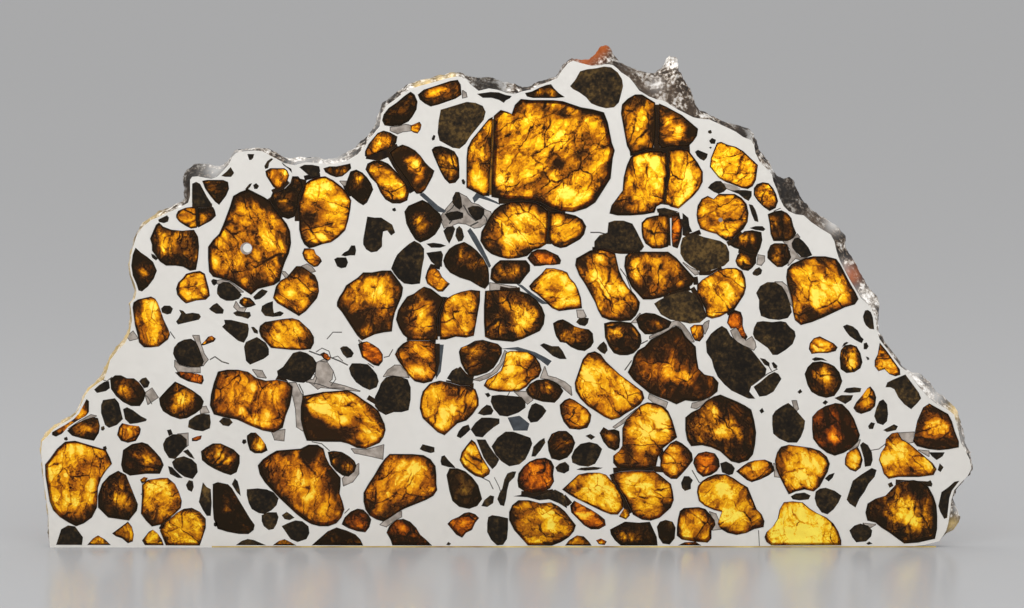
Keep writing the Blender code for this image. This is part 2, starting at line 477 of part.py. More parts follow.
def make_pocket(name, outline, window):
    """The cutter for a crystal's pocket. It runs past each face that it opens."""
    front, rear = crystal_rings(outline, window, 0.0)
    overshoot = Vector((0.0, CUTTER_OVERSHOOT_MM * MM, 0.0))
    rings = [[point - overshoot for point in front], front, rear]
    if window is not BLIND:
        rings.append([point + overshoot for point in rear])
    pocket = add_object(name, closed_mesh(name, rings), None)
    pocket.hide_render = True
    pocket.display_type = "WIRE"
    return pocket


def make_crystal(name, outline, window, material):
    rings = crystal_rings(outline, window, GAP_MM)
    return add_object(name, closed_mesh(name, rings), material)


def build():
    clear_scene()
    materials = make_materials()
    metal = make_metal(materials[METAL])
    for name, colour, window, outline in CRYSTALS:
        pocket = make_pocket("pocket_of_" + name, outline, window)
        cut = metal.modifiers.new(pocket.name, "BOOLEAN")
        cut.operation = "DIFFERENCE"
        cut.object = pocket
        make_crystal(name, outline, window, materials[colour])


build()
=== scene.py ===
import json
import math
import random

import bmesh
import bpy
from mathutils import Matrix, Vector, noise


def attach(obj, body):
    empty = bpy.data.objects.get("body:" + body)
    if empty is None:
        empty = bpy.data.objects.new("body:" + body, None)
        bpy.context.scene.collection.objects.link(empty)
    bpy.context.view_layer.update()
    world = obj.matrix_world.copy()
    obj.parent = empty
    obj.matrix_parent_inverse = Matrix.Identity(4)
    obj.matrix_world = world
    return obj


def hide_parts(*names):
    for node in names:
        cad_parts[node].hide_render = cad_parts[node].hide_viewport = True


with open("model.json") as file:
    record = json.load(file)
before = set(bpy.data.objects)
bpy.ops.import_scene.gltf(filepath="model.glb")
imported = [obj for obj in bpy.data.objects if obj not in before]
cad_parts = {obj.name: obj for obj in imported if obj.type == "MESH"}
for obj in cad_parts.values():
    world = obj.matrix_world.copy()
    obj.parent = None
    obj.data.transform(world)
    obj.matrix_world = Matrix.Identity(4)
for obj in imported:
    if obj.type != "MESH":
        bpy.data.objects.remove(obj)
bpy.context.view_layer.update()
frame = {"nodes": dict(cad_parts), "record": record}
nodes = frame["nodes"]
slot_of = {part["node"]: part["material_slot"] for part in frame["record"]["subparts"]}


# The large crystals: clear olivine that grew in the metal and runs through the slice.
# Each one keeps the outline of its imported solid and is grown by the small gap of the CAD,
# so that it meets its pocket. Its ends are ground and polished, its sides are a dark skin.
MM = 0.001
FRONT, BACK = -2.5 * MM, 2.5 * MM
CAD_GAP = 0.28 * MM
FOOT_CLEARANCE = 0.3 * MM
CUT_OVERRUN = 1.0 * MM
OPEN_SHRINK, OPEN_PLAY = 0.93, 0.06 * MM
SKIN_WIDTH = 0.22 * MM
FINE_STEP = 0.65 * MM
SAME_PLACE, WELD = 1e-6, 1e-7
LEAST_MITRE = 0.6
chance = random.Random(5)

# The five colours of olivine. A crystal's front has a high tone in its bright part, a painted glow, and a low
# tone outside of it, painted shade towards its edge. The fades are how far from the bright part's edge the
# change starts and ends.
SLOTS = {
    "G": "olivine_gold", "A": "olivine_amber", "O": "olivine_orange", "B": "olivine_brown", "D": "olivine_dark",
}
BRIGHT_TONE = {"G": 0.71, "A": 0.63, "O": 0.56, "B": 0.56, "D": 0.12}
EDGE_TONE = {"G": 0.27, "A": 0.24, "O": 0.21, "B": 0.16, "D": 0.10}
FADE_IN = {"G": 0.17, "A": 0.19, "O": 0.22, "B": 0.40, "D": 0.30}
FADE_OUT = {"G": 0.10, "A": 0.12, "O": 0.18, "B": 0.34, "D": 0.40}
EDGE_FEATURE, EDGE_SWAY = 4.5 * MM, 0.16
FRAY_FEATURE, FRAY_SWAY = 1.6 * MM, 0.10

# The places of small features are columns and rows of the reference photograph, on which
# the slice was measured. on_slice turns them into places on the slice.
SLICE_WIDTH = 243.6 * MM
LEFT_COLUMN, RIGHT_COLUMN = 39.0, 976.0
MIDDLE_COLUMN = 507.8
FOOT_LEFT = (49.0, 550.3)
FOOT_RIGHT = (905.0, 546.8)
PER_COLUMN = SLICE_WIDTH / (RIGHT_COLUMN - LEFT_COLUMN)


def on_slice(column, row, depth=FRONT):
    """The point of the slice at a column and row, with the foot level at z = 0."""
    run = FOOT_RIGHT[0] - FOOT_LEFT[0]
    rise = FOOT_LEFT[1] - FOOT_RIGHT[1]
    length = math.hypot(run, rise)
    across, up = column - FOOT_LEFT[0], FOOT_LEFT[1] - row
    x = ((across * run + up * rise) / length + FOOT_LEFT[0] - MIDDLE_COLUMN) * PER_COLUMN
    z = (up * run - across * rise) / length * PER_COLUMN
    return Vector((x, depth, z))


def entries(text):
    """The entries of a list. Lines that are set in go on with the entry above them."""
    return text.replace("\n    ", " ").strip().splitlines()


def numbers(text):
    return [float(value) for value in text.split(",")]


def read_window(text):
    """The middle and the scale of a bright part of painted glow, or None for a crystal that lets nothing out.
    """
    if not text or text == "blind":
        return None
    column, row, scale = numbers(text)
    return on_slice(column, row), scale


def read_marks(text):
    """Places that are brighter or darker, partly painted highlight and shade: middle, radius and change of
    tone.
    """
    marks = [numbers(mark) for mark in text.split()]
    return [(on_slice(column, row), radius * PER_COLUMN, change) for column, row, radius, change in marks]


def is_flat(face):
    """True for a triangle of the polished front or of the back."""
    depths = [vert.co.y for vert in face.verts]
    return max(depths) - min(depths) < SAME_PLACE


def flat_outline(bm, depth):
    """The corners of a solid's flat end at one depth, in order round it."""
    at_depth = {vert for vert in bm.verts if abs(vert.co.y - depth) < SAME_PLACE}
    rim = [
        edge for edge in bm.edges
        if set(edge.verts) <= at_depth and sum(is_flat(face) for face in edge.link_faces) == 1
    ]
    corners, edge = [rim[0].verts[0]], rim[0]
    while True:
        corner = edge.other_vert(corners[-1])
        if corner == corners[0]:
            return [vert.co.copy() for vert in corners]
        corners.append(corner)
        edge = next(other for other in rim if corner in other.verts and other != edge)


def grown(points, distance):
    """The same outline moved out by a distance, or in where it is below zero."""
    count = len(points)
    area = sum(points[i - 1].x * points[i].z - points[i].x * points[i - 1].z for i in range(count))
    side = 1.0 if area < 0 else -1.0
    moved = []
    for i, point in enumerate(points):
        before = (point - points[i - 1]).normalized()
        after = (points[(i + 1) % count] - point).normalized()
        normal = Vector((-before.z - after.z, 0.0, before.x + after.x)).normalized() * side
        square = Vector((-after.z, 0.0, after.x)) * side
        moved.append(point + normal * distance / max(normal.dot(square), LEAST_MITRE))
    return moved


def shrunk(outline, scale, depth):
    """An outline drawn in towards its middle and laid at another depth."""
    middle = sum(outline, Vector()) / len(outline)
    points = [middle + (point - middle) * scale for point in outline]
    return [Vector((point.x, depth, max(point.z, FOOT_CLEARANCE))) for point in points]


def overrun(outline, side):
    """The outline past the front (side -1) or past the back (side 1), so that a cut goes through."""
    return [point + Vector((0.0, side * CUT_OVERRUN, 0.0)) for point in outline]


def add_prism(bm, rings):
    """A closed solid through rings of corners, to cut with."""
    ends = [bm.faces.new([bm.verts.new(point) for point in ring]) for ring in rings]
    loops = [list(end.edges) for end in ends]
    for near, far in zip(loops, loops[1:]):
        bmesh.ops.bridge_loops(bm, edges=near + far)
    bmesh.ops.delete(bm, geom=ends[1:-1], context="FACES_ONLY")


def reach(middle, outline, point):
    """How far a point is from the middle: 0 at the middle and 1 on the outline."""
    direction = point - middle
    if direction.length < SAME_PLACE:
        return 0.0
    farthest = 0.0
    for i, end in enumerate(outline):
        start = outline[i - 1]
        along = end - start
        cross = direction.x * along.z - direction.z * along.x
        if abs(cross) < SAME_PLACE ** 2:
            continue
        offset = start - middle
        out = (offset.x * along.z - offset.z * along.x) / cross
        at = (offset.x * direction.z - offset.z * direction.x) / cross
        if out > 0 and -SAME_PLACE <= at <= 1 + SAME_PLACE:
            farthest = max(farthest, out)
    return 1.0 / farthest if farthest else 1.0


def smooth_step(low, high, value):
    share = min(1.0, max(0.0, (value - low) / (high - low)))
    return share * share * (3 - 2 * share)


def lay_grid(bm, face, step):
    """Cuts a flat front face by a square grid, so that its tone can vary."""
    faces = [face]
    for axis in (0, 2):
        places = [vert.co[axis] for part in faces for vert in part.verts]
        at = min(places) + 0.5 * step
        plane_no = Vector((axis == 0, 0, axis == 2))
        while at < max(places):
            edges = list({edge for part in faces for edge in part.edges})
            verts = list({vert for part in faces for vert in part.verts})
            cut = bmesh.ops.bisect_plane(
                bm, geom=faces + edges + verts, dist=WELD, plane_co=plane_no * at, plane_no=plane_no
            )
            faces = [part for part in cut["geom"] if isinstance(part, bmesh.types.BMFace)]
            at += step
    return faces


def front_tone(place, front, kind, window, marks):
    """How much light one point of a crystal's front lets out: painted glow in the bright part, painted shade
    towards the edge, and the marks.
    """
    amount = 0.0
    if window:
        middle, scale = window
        share = reach(middle, front, place)
        share += EDGE_SWAY * noise.noise(place / EDGE_FEATURE) + FRAY_SWAY * noise.noise(place / FRAY_FEATURE)
        outside = smooth_step(scale - FADE_IN[kind], scale + FADE_OUT[kind], share)
        amount = BRIGHT_TONE[kind]
        amount += (EDGE_TONE[kind] - amount) * outside
    for spot, radius, change in marks:
        share = (place - spot).length / radius
        amount += change * math.exp(-share * share)
    return amount


# The order of the materials of a crystal
GLASS, REAR, SKIN, BLIND = range(4)


def add_crystal(bm, front, rear, kind, window, marks, step):
    """Adds a crystal between two outlines. Its front holds "tone", with painted glow and shade, and "turn"
    turns its grain.
    """
    tone = bm.verts.layers.float.get("tone") or bm.verts.layers.float.new("tone")
    turn = bm.verts.layers.float.get("turn") or bm.verts.layers.float.new("turn")
    angle = chance.uniform(0.0, math.pi)
    ends, rims = [], []
    for outline in (front, rear):
        end = bm.faces.new([bm.verts.new(point) for point in outline])
        ends.append(end)
        rims.append(list(end.edges))
        bmesh.ops.inset_region(bm, faces=[end], thickness=SKIN_WIDTH, use_even_offset=True)
    skin = set(bmesh.ops.bridge_loops(bm, edges=rims[0] + rims[1])["faces"])
    skin.update(face for rim in rims for edge in rim for face in edge.link_faces if face not in ends)
    for face in skin:
        face.material_index = SKIN
    ends[0].material_index = GLASS if window else BLIND
    ends[1].material_index = REAR if window else SKIN
    # Each point of the front gets its tone: painted glow, painted shade and the marks.
    for vert in {vert for face in lay_grid(bm, ends[0], step) for vert in face.verts}:
        vert[tone] = front_tone(vert.co, front, kind, window, marks)
        vert[turn] = angle


def make_mesh_object(name, bm, materials=()):
    bmesh.ops.recalc_face_normals(bm, faces=bm.faces)
    mesh = bpy.data.meshes.new(name)
    bm.to_mesh(mesh)
    bm.free()
    for material in materials:
        mesh.materials.append(material)
    made = bpy.data.objects.new(name, mesh)
    bpy.context.scene.collection.objects.link(made)
    return made


def make_piece(name, bm, materials, replaced=()):
    """Makes a piece of a finished bmesh and hangs it on the frame."""
    piece = make_mesh_object(name, bm, materials)
    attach(piece, "root")
    if replaced:
        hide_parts(*replaced)


def new_material(name):
    """A material and its node tree."""
    material = bpy.data.materials.new(name)
    material.use_nodes = True
    return material, material.node_tree


STANDARD_NODES = {"shader": "Principled BSDF", "output": "Material Output"}


def build(tree, kinds, values, links, stops=()):
    """Adds nodes by short names, sets their sockets and settings, and joins them.

    A socket is "node.Socket", or "node.0" by its place. A setting is "node.setting". The
    stops are the places and colours of the node "ramp".
    """
    for name, kind in kinds.items():
        tree.nodes.new("ShaderNode" + kind).name = name

    def find(name):
        return tree.nodes[STANDARD_NODES.get(name, name)]

    def socket(text, side):
        name, key = text.strip().split(".")
        return getattr(find(name), side)[int(key) if key.isdigit() else key]

    for text, value in values.items():
        name, key = text.split(".")
        if key.islower():
            setattr(find(name), key, value)
        else:
            socket(text, "inputs").default_value = value
    for link in links.split(","):
        start, end = link.split(">")
        tree.links.new(socket(start, "outputs"), socket(end, "inputs"))
    if stops:
        elements = tree.nodes["ramp"].color_ramp.elements
        while len(elements) < len(stops):
            elements.new(0.5)
        for stop, (place, colour) in zip(elements, stops):
            stop.position = place
            stop.color = (*colour, 1.0)


# Colours that the olivine lets out, from its darkest to its brightest tone. A clear
# surface tints by the root of its colour, so each one is squared for the shader.
COLOUR_STOPS = (0.0, 0.25, 0.48, 0.70, 0.88, 1.0)
GLASS_COLOURS = {
    "G": ((0.030, 0.014, 0.004), (0.13, 0.050, 0.005), (0.48, 0.165, 0.003), (0.85, 0.44, 0.004),
          (0.98, 0.70, 0.014), (1.0, 0.93, 0.15)),
    "A": ((0.026, 0.013, 0.004), (0.11, 0.041, 0.005), (0.40, 0.125, 0.003), (0.82, 0.36, 0.004),
          (0.98, 0.64, 0.012), (1.0, 0.90, 0.13)),
    "O": ((0.022, 0.010, 0.003), (0.10, 0.028, 0.004), (0.38, 0.085, 0.002), (0.80, 0.24, 0.003),
          (0.96, 0.48, 0.010), (1.0, 0.80, 0.07)),
    "B": ((0.008, 0.005, 0.003), (0.05, 0.021, 0.004), (0.24, 0.085, 0.003), (0.74, 0.33, 0.004),
          (0.98, 0.66, 0.012), (1.0, 0.93, 0.12)),
    "D": ((0.008, 0.006, 0.004), (0.04, 0.024, 0.010), (0.12, 0.070, 0.018), (0.30, 0.18, 0.030),
          (0.50, 0.36, 0.05), (0.70, 0.60, 0.11)),
}
# The colour of the painted glow on each crystal's skin towards its back, brighter for the brighter kinds
SKIN_GLOW_COLOURS = {
    "G": (0.52, 0.27, 0.02), "A": (0.42, 0.19, 0.015), "O": (0.36, 0.11, 0.01), "B": (0.16, 0.08, 0.015),
    "D": (0.03, 0.02, 0.012),
}
# What both ends of a clear crystal share
CLEAR_OLIVINE = {
    "shader.Transmission Weight": 1.0, "shader.IOR": 1.67, "shader.Specular Tint": (0.52, 0.37, 0.23, 1.0),
    "absorb.Color": (1.0, 0.88, 0.60, 1.0), "absorb.Density": 60.0,
}
# What is added to the tone of a point: the source, its strength and its usual value
TONE_DETAILS = (
    ("facet.0", 0.30, 0.5), ("chip.0", 0.24, 0.5), ("dome.0", 1.0, -0.2), ("clouds.Fac", 0.8, 0.5),
    ("grain.Fac", 0.7, 0.5), ("vein.0", 1.0, -0.03), ("broken_crack.0", 1.0, -0.03),
)


def make_glass(kind):
    """Clear olivine: facets between old fractures, clouds and fine grain over the tone, which holds painted
    glow and shade.
    """
    material, tree = new_material("clear_olivine_" + kind)
    build(tree, {
        "place": "TexCoord", "turn": "Attribute", "turned": "VectorRotate", "warp": "TexNoise",
        "bent": "VectorMath", "stretched": "Mapping", "facets": "TexVoronoi", "facet": "SeparateColor",
        "dome": "Math", "chips": "TexVoronoi", "chip": "SeparateColor", "fade": "MapRange",
        "veins": "TexNoise", "vein_side": "Math", "vein_gap": "Math", "vein": "MapRange",
        "cracks": "TexVoronoi", "crack": "MapRange", "broken_crack": "Math", "clouds": "TexNoise",
        "grain": "TexNoise", "tone": "Attribute", "settle": "Math", "ramp": "ValToRGB",
        "square": "VectorMath", "rough": "MapRange", "absorb": "VolumeAbsorption",
    }, {
        **CLEAR_OLIVINE,
        "turn.attribute_name": "turn", "turned.rotation_type": "Y_AXIS", "warp.Scale": 230.0,
        "warp.Detail": 3.0, "bent.operation": "MULTIPLY_ADD", "bent.1": (0.0035, 0.0035, 0.0035),
        "stretched.Scale": (1.5, 0.3, 0.75), "facets.Scale": 300.0, "chips.Scale": 780.0,
        "cracks.feature": "DISTANCE_TO_EDGE", "cracks.Scale": 130.0, "clouds.Scale": 190.0,
        "clouds.Detail": 3.0, "clouds.Roughness": 0.6, "grain.Scale": 1700.0, "grain.Detail": 5.0,
        "grain.Roughness": 0.6, "veins.Scale": 150.0, "veins.Detail": 4.0, "veins.Roughness": 0.6,
        "dome.operation": "MULTIPLY", "dome.1": -0.5, "vein_side.operation": "SUBTRACT",
        "vein_side.1": 0.5, "vein_gap.operation": "ABSOLUTE", "vein.From Max": 0.016,
        "vein.To Min": -0.30, "vein.To Max": 0.0, "crack.From Max": 0.034, "crack.To Min": -0.62,
        "crack.To Max": 0.0, "fade.From Min": 0.38, "fade.From Max": 0.62,
        "broken_crack.operation": "MULTIPLY", "tone.attribute_name": "tone",
        "settle.operation": "SUBTRACT", "settle.1": sum(part[1] * part[2] for part in TONE_DETAILS),
        "square.operation": "MULTIPLY", "rough.To Min": 0.03, "rough.To Max": 0.22,
    }, """
        place.Object > turned.Vector, turn.Fac > turned.Angle, turned.0 > warp.Vector,
        warp.Color > bent.0, turned.0 > bent.2, bent.0 > stretched.Vector,
        stretched.0 > facets.Vector, stretched.0 > chips.Vector, stretched.0 > cracks.Vector,
        turned.0 > clouds.Vector, turned.0 > grain.Vector, bent.0 > veins.Vector,
        facets.Color > facet.0, chips.Color > chip.0, facets.Distance > dome.0,
        veins.Fac > vein_side.0, vein_side.0 > vein_gap.0, vein_gap.0 > vein.Value,
        cracks.Distance > crack.Value, warp.Fac > fade.Value, crack.0 > broken_crack.0,
        fade.0 > broken_crack.1, settle.0 > ramp.Fac, ramp.Color > square.0, ramp.Color > square.1,
        square.0 > shader.Base Color, grain.Fac > rough.Value, rough.0 > shader.Roughness,
        absorb.0 > output.Volume
    """, list(zip(COLOUR_STOPS, GLASS_COLOURS[kind])))
    level = "tone.Fac"
    for i, (source, strength, usual) in enumerate(TONE_DETAILS):
        step = f"step_{i}"
        build(tree, {step: "Math"}, {step + ".operation": "MULTIPLY_ADD", step + ".1": strength},
              f"{source} > {step}.0, {level} > {step}.2")
        level = step + ".0"
    build(tree, {}, {}, level + " > settle.0")
    return material


def make_rear_glass():
    """The back end of a crystal: ground dull, so that it spreads the light."""
    material, tree = new_material("ground_olivine")
    build(tree, {
        "place": "TexCoord", "clouds": "TexNoise", "ramp": "ValToRGB", "absorb": "VolumeAbsorption",
    }, {
        **CLEAR_OLIVINE, "shader.Roughness": 0.45, "clouds.Scale": 420.0, "clouds.Detail": 4.0,
    }, """
        place.Object > clouds.Vector, clouds.Fac > ramp.Fac, ramp.Color > shader.Base Color,
        absorb.0 > output.Volume
    """, ((0.35, (0.86, 0.78, 0.55)), (0.62, (1.0, 1.0, 0.84))))
    return material


def make_blind_olivine():
    """Olivine too thick and too fractured to let light out: near black, with brown clouds."""
    material, tree = new_material("dark_olivine")
    build(tree, {
        "place": "TexCoord", "clouds": "TexNoise", "grain": "TexNoise", "mix": "Math", "tone": "Attribute",
        "toned": "Math", "ramp": "ValToRGB",
    }, {
        "shader.Roughness": 0.3, "shader.Specular IOR Level": 0.12, "clouds.Scale": 260.0,
        "clouds.Detail": 4.0, "clouds.Roughness": 0.65, "grain.Scale": 1100.0, "grain.Detail": 6.0,
        "grain.Roughness": 0.65, "mix.operation": "MULTIPLY_ADD", "mix.1": 1.2,
        "tone.attribute_name": "tone", "toned.operation": "MULTIPLY_ADD", "toned.1": 0.45,
    }, """
        place.Object > clouds.Vector, place.Object > grain.Vector, grain.Fac > mix.0,
        clouds.Fac > mix.2, mix.0 > toned.0, tone.Fac > toned.2, toned.0 > ramp.Fac,
        ramp.Color > shader.Base Color
    """, (
        (0.36, (0.005, 0.004, 0.003)), (0.50, (0.013, 0.009, 0.005)), (0.58, (0.036, 0.022, 0.009)),
        (0.70, (0.12, 0.070, 0.020)),
    ))
    return material


def make_skin(kind):
    """The skin on a crystal's sides: dark at the front, with a painted warm glow growing towards the back."""
    material, tree = new_material("olivine_skin_" + kind)
    build(tree, {
        "place": "TexCoord", "axes": "SeparateXYZ", "depth": "MapRange", "clouds": "TexNoise",
        "mix": "Math", "ramp": "ValToRGB",
    }, {
        "shader.Roughness": 0.6, "shader.Specular IOR Level": 0.1, "depth.From Min": FRONT,
        "depth.From Max": BACK, "clouds.Scale": 500.0, "clouds.Detail": 3.0, "mix.operation": "MULTIPLY",
    }, """
        place.Object > axes.0, axes.Y > depth.Value, place.Object > clouds.Vector, depth.0 > mix.0,
        clouds.Fac > mix.1, mix.0 > ramp.Fac, ramp.Color > shader.Base Color
    """, ((0.10, (0.020, 0.013, 0.008)), (0.50, SKIN_GLOW_COLOURS[kind])))
    return material


rear_glass = make_rear_glass()
blind_olivine = make_blind_olivine()
olivine_looks = {kind: [make_glass(kind), rear_glass, make_skin(kind), blind_olivine] for kind in SLOTS}
